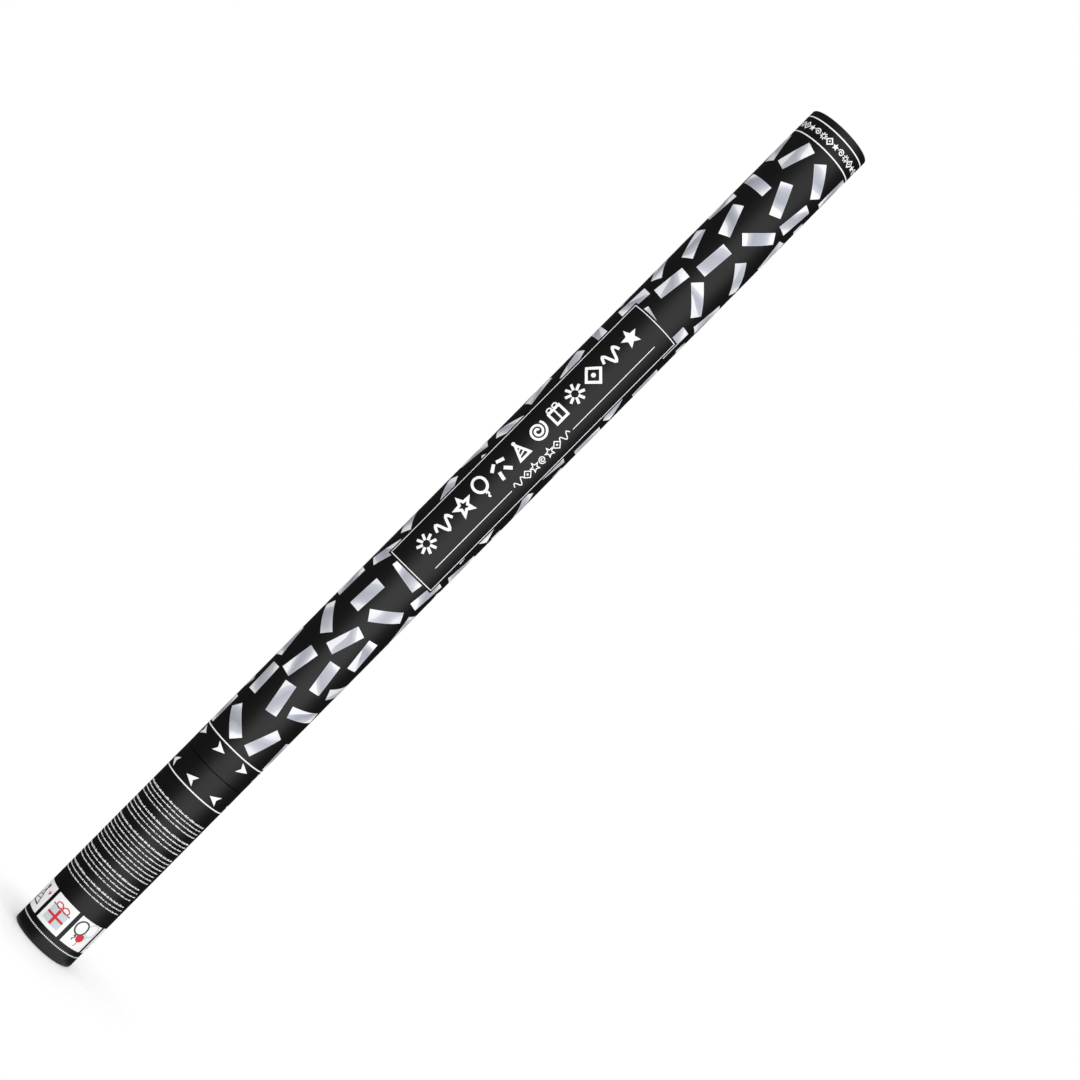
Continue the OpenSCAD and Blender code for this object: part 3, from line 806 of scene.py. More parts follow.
def wrap_outline(edge, seam):
    """The section of a wrap that is turned in at the edge height and cut at the seam height."""
    up = 1 if seam > edge else -1
    tall = abs(seam - edge)
    rolled = bend((wrap_outer - EDGE_ROUND, EDGE_ROUND), EDGE_ROUND, 0, -90, 6)
    tucked = bend((hem_inner + HEM_ROUND, HEM_ROUND), HEM_ROUND, 270, 180, 5)
    points = [(wrap_outer - CUT_CHAMFER, tall), (wrap_outer, tall - CUT_CHAMFER), *rolled, *tucked,
              (hem_inner, HEM_DEPTH), (hem_back, HEM_DEPTH), (hem_back, HEM_ROUND), (hem_back + EASE, SHEET),
              (wrap_inner - EASE, SHEET), (wrap_inner, EDGE_ROUND), (wrap_inner, tall)]
    return [(r, edge + up * z) for r, z in points]


def wrap(node, body, edge, seam):
    """One turned wrap. Its hem alone is pleated: what lies inside the board and past the edge."""
    hem_outer = wrap_inner - EDGE_ROUND
    piece = turned(node + "_paper", wrap_outline(edge, seam), black_film, segments=WRAP_SIDES,
                   pleated=lambda r, z: float(r < hem_outer and abs(z - edge) > EDGE_ROUND),
                   pleats=HEM_PLEATS, pleat_depth=PLEAT_DEPTH)
    fixed(piece, body, node)


wrap("grip_wrap", "grip", grip_foot, grip_top)
wrap("barrel_wrap", "barrel", barrel_top, barrel_foot)

# %% [markdown]
# ## Drawing for the print
# A print is drawn flat first, in millimetres: x runs round the paper from the middle of the front
# and z up the tube. Every shape is a convex polygon, and a line is a row of four-sided stretches
# that share their mitred corners. The cutting function trims a shape at a border.
#
# A point may carry more numbers after x and z. They are cut along with it, which is how a slip
# keeps its own coordinates for the silver ink.

# %% Shapes in the flat
LEAST_MITRE = 0.35


def block(low_x, low_z, high_x, high_z):
    """A filled rectangle."""
    return [[(low_x, low_z), (high_x, low_z), (high_x, high_z), (low_x, high_z)]]


def round_points(x, z, radius, sides, turn=90.0, squash=1.0):
    """The corners of a circle, an ellipse or a regular polygon, the first at the turn in degrees."""
    turns = [math.radians(turn) + 2 * math.pi * n / sides for n in range(sides)]
    return [(x + radius * math.cos(t), z + radius * squash * math.sin(t)) for t in turns]


def spot(x, z, radius, sides=20):
    """A filled circle, or with few sides a filled polygon."""
    return [round_points(x, z, radius, sides)]


def line(points, width, closed=False):
    """A line of one width through the points, mitred where it turns."""
    points = [Vector(point) for point in points]
    last = len(points) - 1
    edges = []
    for n, here in enumerate(points):
        near = [here - points[n - 1]] if closed or n else []
        near += [points[(n + 1) % len(points)] - here] if closed or n < last else []
        near = [step.normalized() for step in near]
        mean = sum(near, Vector((0, 0))).normalized()
        side = Vector((-mean.y, mean.x))
        side *= width / 2 / max(abs(side.dot(Vector((-near[0].y, near[0].x)))), LEAST_MITRE)
        edges.append((tuple(here + side), tuple(here - side)))
    ends = edges + edges[:1] if closed else edges
    return [[*before, *reversed(after)] for before, after in zip(ends, ends[1:])]


def placed(shapes, x, z, turn=0.0, size=1.0):
    """The shapes, scaled, turned by degrees and moved."""
    c, s = size * math.cos(math.radians(turn)), size * math.sin(math.radians(turn))
    return [[(x + c * p[0] - s * p[1], z + s * p[0] + c * p[1], *p[2:]) for p in shape] for shape in shapes]


def clip(shape, axis, limit, keep):
    """What is left of a convex shape above a limit on one axis, or with keep -1 below it."""
    left = []
    for n, here in enumerate(shape):
        before = shape[n - 1]
        inside, was = (keep * (p[axis] - limit) >= 0 for p in (here, before))
        if inside != was:
            part = (limit - before[axis]) / (here[axis] - before[axis])
            left.append(tuple(b + part * (h - b) for b, h in zip(before, here)))
        if inside:
            left.append(here)
    return left if len(left) > 2 else []


print("a square of 2 mm clipped at 0.5 has corners", clip(block(-1, -1, 1, 1)[0], 0, 0.5, -1))

# %% [markdown]
# Shapes that are wide are cut into upright strips, three degrees of the tube each, so that they
# can bend. The strips of all shapes are laid in one flat mesh, and points in the same place are
# made one.

# %% A flat mesh of strips
STRIP = 3 * degree
WELD = 0.002


def strips(shape):
    """A shape cut into upright strips."""
    across = [point[0] for point in shape]
    for n in range(math.floor(min(across) / STRIP), math.ceil(max(across) / STRIP)):
        cut = clip(shape, 0, n * STRIP, 1)
        cut = clip(cut, 0, (n + 1) * STRIP, -1)
        if cut:
            yield cut


def flat_mesh(name, shapes):
    """A flat mesh of the shapes, whose faces look at the front."""
    sheet = bmesh.new()
    slip = sheet.verts.layers.float_vector.new("slip")
    for cut in (cut for shape in shapes for cut in strips(shape)):
        corners = []
        for x, z, *own in cut:
            corner = sheet.verts.new((x * MM, 0, z * MM))
            corner[slip] = Vector(own) if own else Vector()
            corners.append(corner)
        sheet.faces.new(corners)
    bmesh.ops.remove_doubles(sheet, verts=sheet.verts, dist=WELD * MM)
    bmesh.ops.dissolve_degenerate(sheet, edges=sheet.edges, dist=WELD * MM)
    sheet.normal_update()
    bmesh.ops.reverse_faces(sheet, faces=[f for f in sheet.faces if f.normal.y > 0])
    return mesh_of(name, sheet)


print("a strip is", round(STRIP, 2), "mm wide")

# %% [markdown]
# This tree makes the flat sheet a closed layer of ink and bends it round the paper, as a label is
# rolled on. Arrows, bands and dots are drawn once and copied round by the same tree. The turn of
# a point is its distance along the sheet, divided by the paper's radius.

# %% From the flat to the tube
wrapper, given = new_tree("wrap_print", copies="Int", pitch="Float", paper_radius="Float",
                          top_radius="Float", thickness="Float")
step = add(wrapper, "ShaderNodeCombineXYZ", {"X": given["pitch"]})
row = add(wrapper, "GeometryNodeMeshLine", {"Count": given["copies"], "Offset": step})
shape = add(wrapper, "GeometryNodeInstanceOnPoints", {"Points": row, "Instance": given["Mesh"]})
shape = add(wrapper, "GeometryNodeRealizeInstances", (shape,))
lift = add(wrapper, MATH, (given["thickness"], -1.0), operation="MULTIPLY")
lift = add(wrapper, "ShaderNodeCombineXYZ", {"Y": lift})
raised = add(wrapper, "GeometryNodeExtrudeMesh", {"Mesh": shape, "Offset": lift, "Individual": False})
under = add(wrapper, "GeometryNodeFlipFaces", (shape,))
both = add(wrapper, "GeometryNodeJoinGeometry", (raised,))
wrapper.links.new(under.outputs[0], both.inputs[0])
shape = add(wrapper, "GeometryNodeMergeByDistance", {"Geometry": both, "Distance": SAME_PLACE})
place = add(wrapper, "GeometryNodeInputPosition")
x, y, z = add(wrapper, "ShaderNodeSeparateXYZ", (place,)).outputs
turn = add(wrapper, MATH, (x, given["paper_radius"]), operation="DIVIDE")
radius = given["top_radius"]
for inner in (given["thickness"], y):
    radius = add(wrapper, MATH, (radius, inner), operation="SUBTRACT")
place = round_axis(wrapper, turn, radius, z)
shape = add(wrapper, "GeometryNodeSetPosition", {"Geometry": shape, "Position": place})
end_tree(wrapper, given, shape)
print("the printing tree has", len(wrapper.nodes), "nodes")

# %% [markdown]
# Ink is a closed layer, because a bare face right on the paper would flicker through it. It is
# thicker here than real ink and sinks a little into the paper, so that no gap shows. Three
# heights, about a hundredth of a millimetre apart, let one ink lie over another.

# %% Print on the paper
INK_THICK = 0.1
INK_TOP = paper_r
TILE_TOP = paper_r - 0.025
PALE_TOP = paper_r - 0.013


def printed(name, shapes, ink, top=INK_TOP, copies=1, pitch=0.0):
    """The shapes as a closed layer of ink round the paper, copied at a pitch in millimetres."""
    return run_tree(name, wrapper, flat_mesh(name, shapes), ink, copies=copies, pitch=pitch * MM,
                    paper_radius=paper_r * MM, top_radius=top * MM, thickness=INK_THICK * MM)


print("ink stands", round(INK_TOP - wrap_outer, 3), "mm above the paper, so that it shows from every side")

# %% [markdown]
# ## Motifs
# The boldest print is a row of party motifs in white line: bursts, streamers, stars, balloons,
# hats and presents. Each is drawn about its own middle and about as tall as it is wide, so that
# any of them can stand in any place. The line is as bold as the row is meant to look.
# The numbers in a motif are shares of its radius, as on a drawing that is scaled to fit.

# %% Bursts, stars and streamers
TALL = 15.0
BOLD = 2.05


def burst(radius, width, rays=8):
    """Rays round an open middle."""
    ray = line([(radius * 0.36, 0), (radius, 0)], width)
    return [shape for n in range(rays) for shape in placed(ray, 0, 0, 360 * (n + 0.5) / rays)]


def star_points(radius, dip=0.45):
    """The ten corners of a star."""
    outer, inner = round_points(0, 0, radius, 5), round_points(0, 0, radius * dip, 5, 126)
    return [p for pair in zip(outer, inner) for p in pair]


def star(radius, width):
    """A five-pointed star in outline."""
    return line(star_points(radius), width, closed=True)


def full_star(radius):
    """A filled star, as five kites."""
    points = star_points(radius)
    return [[(0, 0), points[n - 1], points[n], points[n + 1]] for n in range(0, 10, 2)]


def streamer(length, rise, width, waves=2.0):
    """A paper streamer: a wave."""
    count = int(12 * waves)
    parts = [n / count for n in range(count + 1)]
    return line([(length * (t - 0.5), rise * math.sin(2 * math.pi * waves * t)) for t in parts], width)


def curl(radius, width, turns=2.1):
    """A rolled streamer: a spiral."""
    count = int(18 * turns)
    points = []
    for n in range(count + 1):
        out, turn = radius * (0.14 + 0.86 * n / count), 2 * math.pi * turns * n / count
        points.append((out * math.cos(turn), out * math.sin(turn)))
    return line(points, width)


print("a burst is drawn with", len(burst(TALL / 2, BOLD)), "shapes")

# %% [markdown]
# The things of a party are put together from lines, spots and blocks. Each keeps only what tells
# it from the others at a glance, because the smallest are no wider than a pencil.

# %% Balloons, hats, presents and slips


def balloon(radius, width):
    """A balloon in outline with its knot and a waving string."""
    middle = radius * 0.32
    shapes = line(round_points(0, middle, radius * 0.62, 24, squash=1.15), width, closed=True)
    foot = middle - radius * 0.72
    shapes += [[(0, foot), (-radius * 0.18, foot - radius * 0.24), (radius * 0.18, foot - radius * 0.24)]]
    string = [(0.09 * radius * math.sin(n * 1.1), foot - radius * (0.24 + 0.07 * n)) for n in range(7)]
    return shapes + line(string, width * 0.6)


def hat(radius, width):
    """A party hat: a cone with two bands and a bobble."""
    wide, low, high = radius * 0.62, -radius * 0.82, radius * 0.62
    shapes = line([(-wide, low), (wide, low), (0, high)], width, closed=True)
    shapes += spot(0, radius * 0.82, radius * 0.2)
    for part in (0.3, 0.56):
        side = wide * (1 - part) - width * 0.2
        level = low + (high - low) * part
        shapes += line([(-side, level - 0.1 * radius), (side, level + 0.1 * radius)], width * 0.55)
    return shapes


def gift(radius, width):
    """A present: a box with its ribbon and two loops."""
    side, low, high = radius * 0.7, -radius * 0.85, radius * 0.4
    shapes = line(block(-side, low, side, high)[0], width, closed=True)
    shapes += block(-width * 0.35, low + width / 2, width * 0.35, high - width / 2)
    for way in (-1, 1):
        loop = round_points(way * radius * 0.36, radius * 0.66, radius * 0.26, 14, squash=0.7)
        shapes += line(loop, width * 0.55, closed=True)
    return shapes


def gem(radius, width):
    """A lozenge with a spot in it."""
    return line(round_points(0, 0, radius, 4), width, closed=True) + spot(0, 0, radius * 0.24)


def tossed(radius):
    """Four tossed paper slips."""
    slip = block(-radius * 0.42, -radius * 0.17, radius * 0.42, radius * 0.17)
    places = [(-0.52, 0.56, 35), (0.5, 0.62, -20), (-0.42, -0.56, 78), (0.55, -0.42, -48)]
    return [shape for x, z, turn in places for shape in placed(slip, x * radius, z * radius, turn)]


print("a present is drawn with", len(gift(TALL / 2, BOLD)), "shapes")

# %% [markdown]
# ## The print on the barrel
# The barrel carries the design: strewn silver slips, a black panel with a fine frame and the row
# of motifs, three fine rings, a band of small motifs under the muzzle, and seven arrowheads by the
# seam that tell the hand which way to twist. A printer sets all this on one flat sheet whose
# width is the tube's girth. The sheet's own seam is at the back.

# %% Rings, panel and arrowheads
RING_LINE = 0.9
BARREL_RINGS = (191.5, 779.7, 794.05)
SHEET_GAP = 0.15
PANEL = (-20.49, 366.0, 23.19, 609.3)
PANEL_LINE = 0.6
THIN_LINE = 0.55
THIN_LINE_X = 11.93
THIN_LINE_ENDS = ((379.3, 455.2), (515.9, 597.4))
ARROWS = 7
ARROW_LONG = 9.0
ARROW_HALF = 4.0
ARROW_NOTCH = 2.3
ARROW_TIP = -4.3 * degree
ARROW_LEVEL = 185.4

sheet_end = half_girth - SHEET_GAP


def around(z, width=RING_LINE):
    """A ring of line round the whole sheet."""
    return block(-half_girth, z - width / 2, sheet_end, z + width / 2)


def panel_lines():
    """The panel's frame and the two thin lines in it."""
    shapes = line(block(*PANEL)[0], PANEL_LINE, closed=True)
    for low, high in THIN_LINE_ENDS:
        shapes += line([(THIN_LINE_X, low), (THIN_LINE_X, high)], THIN_LINE)
    return shapes


def arrowhead(tip_x, z, way):
    """A notched arrowhead. Way 1 points to the right of the print and -1 to the left."""
    tip, notch = (tip_x, z), (tip_x - way * (ARROW_LONG - ARROW_NOTCH), z)
    upper, lower = ((tip_x - way * ARROW_LONG, z + side * ARROW_HALF) for side in (1, -1))
    return [[tip, upper, notch], [tip, notch, lower]]


print("the panel is", round(PANEL[3] - PANEL[1], 1), "mm long, with", ARROWS, "arrowheads under it")

# %% [markdown]
# The motifs stand in three rows. The large row and the small one run up the panel, and the band
# runs round under the muzzle. Only a seventh of the band is drawn, because its motifs repeat.

# %% Rows of motifs
ROW_MIDDLE = -5.0
ROW_START = 387.2
ROW_PITCH = 18.4
STREAMER = (15.0, 4.6, BOLD, 1.5)
SMALL_MIDDLE = 11.6
SMALL_START = 463.2
SMALL_STEPS = (0, 8.0, 15.2, 22.6, 30.0, 37.2, 45.2)
SMALL_LINE = 0.75
SMALL_STREAMER = (9.5, 2.4, SMALL_LINE, 1.5)
BAND_MIDDLE = 786.6
BAND_COPIES = 7
BAND_START = 3.2
BAND_STEP = 5.8
BAND_TALL = 2.75
BAND_LINE = 0.9


def upright_row(motifs, x, heights):
    """Motifs one above the other, upright to an eye that sees the muzzle on the right."""
    return [shape for motif, z in zip(motifs, heights) for shape in placed(motif, x, z, 90)]


half = TALL / 2
large = [burst(half, BOLD), streamer(*STREAMER), star(half * 0.9, BOLD), balloon(half * 1.1, BOLD),
         tossed(half), hat(half, BOLD * 0.9), curl(half * 0.96, BOLD * 0.85), gift(half, BOLD * 0.9),
         burst(half, BOLD), gem(half * 0.95, BOLD), streamer(*STREAMER), full_star(half)]
large = upright_row(large, ROW_MIDDLE, [ROW_START + n * ROW_PITCH for n in range(len(large))])
small = [streamer(*SMALL_STREAMER), gem(3.3, SMALL_LINE), star(3.6, SMALL_LINE)]
small = small + [curl(3.1, SMALL_LINE, 1.8)] + small[::-1]
small = upright_row(small, SMALL_MIDDLE, [SMALL_START + step for step in SMALL_STEPS])
band = [burst(BAND_TALL, BAND_LINE * 0.85), gem(BAND_TALL, BAND_LINE), full_star(BAND_TALL),
        curl(BAND_TALL * 0.95, BAND_LINE * 0.85, 1.5)]
band = [shape for n, motif in enumerate(band)
        for shape in placed(motif, BAND_START + n * BAND_STEP - half_girth, BAND_MIDDLE)]

arrows = arrowhead(ARROW_TIP, ARROW_LEVEL, 1)
fixed(joined("barrel_white_print", [
    printed("frame_lines", panel_lines() + large + small, white_ink),
    printed("rings", [shape for z in BARREL_RINGS for shape in around(z)], white_ink),
    printed("twist_arrows", arrows, white_ink, copies=ARROWS, pitch=girth / ARROWS),
    printed("band", band, white_ink, copies=BAND_COPIES, pitch=girth / BAND_COPIES),
]), "barrel")

# %% [markdown]
# ## Strewn slips
# Slips of foil are strewn over the barrel's print without touching. Drawn at random they would
# pile up, so they start on a staggered grid, turned at random but never like their neighbours, and
# then push each other away for a number of small steps. Each slip is tested at five points along
# its middle line, which keeps long slips apart side by side as well as end to end. The sheet
# closes on itself, so distances are measured round the tube. The random numbers come from one
# fixed seed.

# %% Where the slips lie
SLIP_LONG = 25.0
SLIP_WIDE = 9.0
SLIP_LOW = 193.0
SLIP_HIGH = 778.6
SLIP_COLUMNS = 7
SLIP_ROWS = 19
SLIP_APART = 15.3
SLIP_SEED = 23
STRAY = 3
TEST_REACH = 8
PUSH_STEPS = 160
PUSH = 0.05
PUSH_TURN = 0.002


def strew(seed):
    """Centres, angles and own numbers of the slips on the flat sheet, pushed apart."""
    chance = np.random.default_rng(seed)
    column, row = (v.ravel() for v in np.meshgrid(np.arange(SLIP_COLUMNS), np.arange(SLIP_ROWS)))
    count = len(column)
    x = (column + 0.5 * (row % 2)) * girth / SLIP_COLUMNS - half_girth + chance.uniform(-STRAY, STRAY, count)
    z = SLIP_LOW + (row + 0.5) * (SLIP_HIGH - SLIP_LOW) / SLIP_ROWS + chance.uniform(-STRAY, STRAY, count)
    angle = math.pi * (0.5 * ((column + row // 2) % 2) + chance.uniform(0, 0.5, count))
    along = np.linspace(-TEST_REACH, TEST_REACH, 5)
    for _ in range(PUSH_STEPS):
        c, s = np.cos(angle)[:, None], np.sin(angle)[:, None]
        px, pz = x[:, None] + along * c, z[:, None] + along * s
        dx = px[:, :, None, None] - px[None, None]
        dx -= girth * np.round(dx / girth)
        dz = pz[:, :, None, None] - pz[None, None]
        gap = np.sqrt(dx**2 + dz**2) + SAME_PLACE
        push = np.clip(SLIP_APART - gap, 0, None) / gap
        push[np.arange(count), :, np.arange(count), :] = 0
        fx, fz = (push * dx).sum((2, 3)), (push * dz).sum((2, 3))
        x += PUSH * fx.sum(1)
        z += PUSH * fz.sum(1)
        angle += PUSH_TURN * (along * (fz * c - fx * s)).sum(1)
    return x - girth * np.round(x / girth), z, angle, chance.uniform(0, 1, count)


slips = list(zip(*strew(SLIP_SEED)))
cover = len(slips) * SLIP_LONG * SLIP_WIDE / girth / (SLIP_HIGH - SLIP_LOW)
print(len(slips), "slips,", round(100 * cover), "% cover")

# %% [markdown]
# The slips end at the sheet's edge, the rings and the panel, as one layer of a printed design is
# masked by another. A slip that runs over the edge of the sheet is drawn at both its ends, and the
# borders leave at each end what belongs there.

# %% The slips, trimmed by the sheet, the rings and the panel
PANEL_MARGIN = 1.8

# A border is an axis, a limit on it, and 1 to keep what is above the limit or -1 what is below
SHEET_BORDERS = ((0, -half_girth, 1), (0, sheet_end, -1), (1, SLIP_LOW, 1), (1, SLIP_HIGH, -1))
panel_low_x, panel_low_z, panel_high_x, panel_high_z = PANEL
PANEL_LEFT = (0, panel_low_x - PANEL_MARGIN)
PANEL_RIGHT = (0, panel_high_x + PANEL_MARGIN)
PANEL_SIDES = (
    ((*PANEL_LEFT, -1),),
    ((*PANEL_RIGHT, 1),),
    ((*PANEL_LEFT, 1), (*PANEL_RIGHT, -1), (1, panel_low_z - PANEL_MARGIN, -1)),
    ((*PANEL_LEFT, 1), (*PANEL_RIGHT, -1), (1, panel_high_z + PANEL_MARGIN, 1)),
)


def trimmed(shape, borders):
    """What is left of a shape inside all the borders."""
    for border in borders:
        shape = clip(shape, *border)
    return shape


def slip_shapes():
    """Every slip as trimmed shapes whose points carry along, across and the slip's own number."""
    shapes = []
    for x, z, angle, own in slips:
        # The second digit of its own number tells from which end a slip is read
        near, far = (0.0, 1.0) if own * 10 % 1 < 0.5 else (1.0, 0.0)
        corners = block(-SLIP_LONG / 2, -SLIP_WIDE / 2, SLIP_LONG / 2, SLIP_WIDE / 2)[0]
        readings = ((near, 0.0), (far, 0.0), (far, 1.0), (near, 1.0))
        whole = [[(*corner, *reading, own) for corner, reading in zip(corners, readings)]]
        for round_again in (-girth, 0, girth):
            shape = placed(whole, x + round_again, z, math.degrees(angle))[0]
            shape = trimmed(shape, SHEET_BORDERS)
            shapes += [part for part in (trimmed(shape, side) for side in PANEL_SIDES) if part]
    return shapes


fixed(printed("barrel_silver_slips", slip_shapes(), silver_ink), "barrel")

# %% [markdown]
# ## The print on the grip
# The grip's print is the plain one: small pictures on white tiles near the foot, rows of fine ticks
# above them, and a fine ring with arrowheads against those of the barrel. The ticks are there for
# the even grey that they give from a distance. Each has a random width and one of two heights, and
# a wider gap follows every short run of them. The rows come in groups: the height of the lowest
# row of a group, the height of its highest and bold one, and how many there are.

# %% Rows of fine ticks
TICK_GROUPS = [(51.5, 58.4, 3), (64.7, 74.7, 4), (81.0, 103.7, 8), (110.0, 119.9, 4), (126.2, 135.8, 4)]
TICKS_FROM = -100 * degree
TICKS_TO = (60 * degree, 75 * degree)
TICK_TALL = 0.98
BOLD_TALL = 1.4
TICK_SHARES = (0.7, 0.7, 1.0)
TICK_WIDE = (0.35, 0.8)
TICK_GAP = (0.2, 0.3)
RUN_TICKS = (3, 9)
RUN_GAP = 0.85
TICK_SEED = 5


def tick_rows(seed):
    """Ragged rows of ticks, as small rectangles. The last row of each group is the bold one."""
    chance = random.Random(seed)
    shapes = []
    for low, high, rows in TICK_GROUPS:
        for n in range(rows):
            tall = BOLD_TALL if n == rows - 1 else TICK_TALL
            base = low + (high - low) * n / (rows - 1) - tall / 2
            x, end = TICKS_FROM, chance.uniform(*TICKS_TO)
            left = chance.randint(*RUN_TICKS)
            while x < end:
                wide = chance.uniform(*TICK_WIDE)
                shapes += block(x, base, x + wide, base + tall * chance.choice(TICK_SHARES))
                left -= 1
                x += wide + (chance.uniform(*TICK_GAP) if left else RUN_GAP)
                left = left or chance.randint(*RUN_TICKS)
    return shapes


ticks = tick_rows(TICK_SEED)
print(len(ticks), "ticks")

# %% [markdown]
# Six tiles stand side by side on the grip. Each has a small picture from a party on it, in three
# inks, and is drawn with the same shapes as the motifs.

# %% Tiles with small pictures
TILE_WIDE = 21.0
TILE_LOW = 14.3
TILE_HIGH = 37.8
TILES = [(-120.6 + 53.6 * n) * degree for n in range(6)]
FINE = 1.05

grey, red, pale = [], [], []


def draw(tile, ink, shapes, x=0.0, z=0.0):
    """Puts shapes in one ink on a tile, at a place from the tile's middle."""
    ink += placed(shapes, TILES[tile] + x, (TILE_LOW + TILE_HIGH) / 2 + z)


# A string of small flags over tossed slips
string = [(-8.5 + 1.7 * n, 5.5 - 3.2 * (1 - ((n - 5) / 5) ** 2)) for n in range(11)]
draw(0, grey, line(string, 0.6))
for n in range(0, 10, 2):
    (ax, az), (bx, bz) = string[n : n + 2]
    flag = [(ax, az), ((ax + bx) / 2, min(az, bz) - 4.2), (bx + 0.4, bz)]
    draw(0, pale if n % 4 else red, [flag])
draw(0, pale, tossed(5), 0, -5.6)

# A party hat with stars
draw(1, grey, hat(8.5, FINE))
draw(1, red, spot(0, 0, 1.6), 0, 7.4)
draw(1, red, full_star(2.0), 7.2, 5.0)
draw(1, pale, full_star(1.7), -7.0, -1.0)

# A present with its ribbon
draw(2, pale, block(-7.4, -8.6, 7.4, 3.4))
draw(2, red, block(-1.1, -8.6, 1.1, 3.4) + block(-7.4, -3.4, -1.1, -1.6) + block(1.1, -3.4, 7.4, -1.6))
for side in (-3.1, 3.1):
    draw(2, red, line(round_points(side, 5.6, 2.7, 16, squash=0.72), 0.9, closed=True))
draw(2, grey, block(-8.2, 3.6, 8.2, 4.4))

# Three balloons
draw(3, grey, balloon(7.6, 1.2), -4.4, 1.6)
draw(3, pale, balloon(7.6, 1.2), 4.2, 3.6)
draw(3, red, spot(0.2, -2.6, 3.3) + line([(0.2, -5.6), (0.9, -7.6), (0.0, -9.8)], 0.7))

# A cake with three candles
draw(4, pale, block(-6.5, -6.5, 6.5, -0.5) + block(-4.4, -0.2, 4.4, 3.2))
draw(4, grey, block(-8.2, -7.6, 8.2, -6.8))
for x in (-2.8, 0, 2.8):
    draw(4, grey, block(-0.35, 3.4, 0.35, 6.4), x)
    draw(4, red, spot(0, 7.5, 0.75, 8), x)

# A party horn: a cone and its rolled tongue
draw(5, grey, [[(-8, -1.0), (0.5, -3.2), (0.5, 3.2), (-8, 1.0)]])
draw(5, red, curl(3.4, FINE, 1.6), 4.4, 1.4)
draw(5, pale, full_star(1.8), -4.5, 6.4)
draw(5, pale, full_star(1.5), 5.5, -6.2)
print("tiles:", len(TILES), "with", len(grey + red + pale), "shapes")

# %% [markdown]
# All shapes in one ink become one piece. The white tiles lie lowest and the pale ink next, and the
# other inks are printed over them. Arrowheads and dots are drawn once and copied round.

# %% All the ink on the grip
GRIP_RING = 151.0
COUNTER_TIP = -25.4 * degree
COUNTER_LEVEL = 157.2
DOTS = 108
DOT = (0.4, 9.05, 1.25, 10.0)

tiles = [shape for x in TILES for shape in block(x - TILE_WIDE / 2, TILE_LOW, x + TILE_WIDE / 2, TILE_HIGH)]
counter_arrow = arrowhead(COUNTER_TIP, COUNTER_LEVEL, -1)
dot = placed(block(*DOT), -half_girth, 0)
fixed(joined("grip_white_print", [
    printed("tiles", tiles, white_ink, top=TILE_TOP),
    printed("ticks", ticks, white_ink),
    printed("ring", around(GRIP_RING), white_ink),
    printed("counter_arrows", counter_arrow, white_ink, copies=ARROWS, pitch=girth / ARROWS),
    printed("dots", dot, white_ink, copies=DOTS, pitch=girth / DOTS),
]), "grip")
fixed(printed("grip_pale_print", pale, pale_ink, top=PALE_TOP), "grip")
fixed(printed("grip_grey_print", grey, grey_ink), "grip")
fixed(printed("grip_red_print", red, red_ink), "grip")

# %% [markdown]
# ## The lap at the back
# The sheet is glued to itself along a lap at the back. The upper layer ends in a cut edge, where
# the white core of the paper shows as a line as thin as a hair. It is a small thing, but it is how
# a wrapped tube differs from a painted one.

# %% Laps and their cut edges
LAP = 8.0
LAP_TOP = wrap_outer + 0.03
CORE_TOP = LAP_TOP + 0.015
CORE_LINE = 0.16
END_ROOM = 1.0

lap_ends = {"grip": (grip_foot + END_ROOM, grip_top), "barrel": (barrel_foot, barrel_top - END_ROOM)}
for body, (low, high) in lap_ends.items():
    lap = printed("lap", block(half_girth - LAP, low, half_girth, high), black_film, top=LAP_TOP)
    core = printed("core", block(half_girth - CORE_LINE, low, half_girth, high), paper_core, top=CORE_TOP)
    fixed(joined(body + "_paper_lap", [lap, core]), body)

# %% [markdown]
# ## Ribs
# The plug and the lid are moulded with thin ribs. One rib is a bar with eased edges, and a small
# tree copies it round the axis. The turned body and its ribs overlap a little, as the steel of a
# mould is cut, so no gap shows between them.

# %% A ring of copies
RIB_WIDE = 1.2
RIB_EASE = 0.2

ring_of, given = new_tree("ring_of_copies", count="Int")
row = add(ring_of, "GeometryNodeMeshLine", {"Count": given["count"], "Offset": (0, 0, 0)})
index = add(ring_of, "GeometryNodeInputIndex")
turn = add(ring_of, MATH, (index, given["count"]), operation="DIVIDE")
turn = add(ring_of, MATH, (turn, 2 * math.pi), operation="MULTIPLY")
turn = add(ring_of, "ShaderNodeCombineXYZ", {"Z": turn})
copies = add(ring_of, "GeometryNodeInstanceOnPoints",
             {"Points": row, "Instance": given["Mesh"], "Rotation": turn})
end_tree(ring_of, given, copies)


def ribs(name, count, inner, outer, low, high):
    """Bars with eased edges that stand round the axis, from an inner to an outer radius."""
    bar = bmesh.new()
    bmesh.ops.create_cube(bar, size=1.0)
    for corner in bar.verts:
        right, _, up = corner.co
        y = math.copysign(RIB_WIDE / 2, corner.co.y)
        corner.co = Vector((outer if right > 0 else inner, y, high if up > 0 else low)) * MM
    bmesh.ops.bevel(bar, geom=bar.edges[:], offset=RIB_EASE * MM, segments=2, affect="EDGES", profile=0.5)
    return run_tree(name, ring_of, mesh_of(name, bar), black_abs, count=count)


print("ribs are eased by", RIB_EASE, "mm")

# %% [markdown]
# ## The base plug
# The plug closes the foot and carries the cylinder in a cup. It stands on its outer ring. Inside
# the ring its floor lies a little higher, with six ribs about the vent hole in its middle, and
# twelve more hold the cup against the wall.

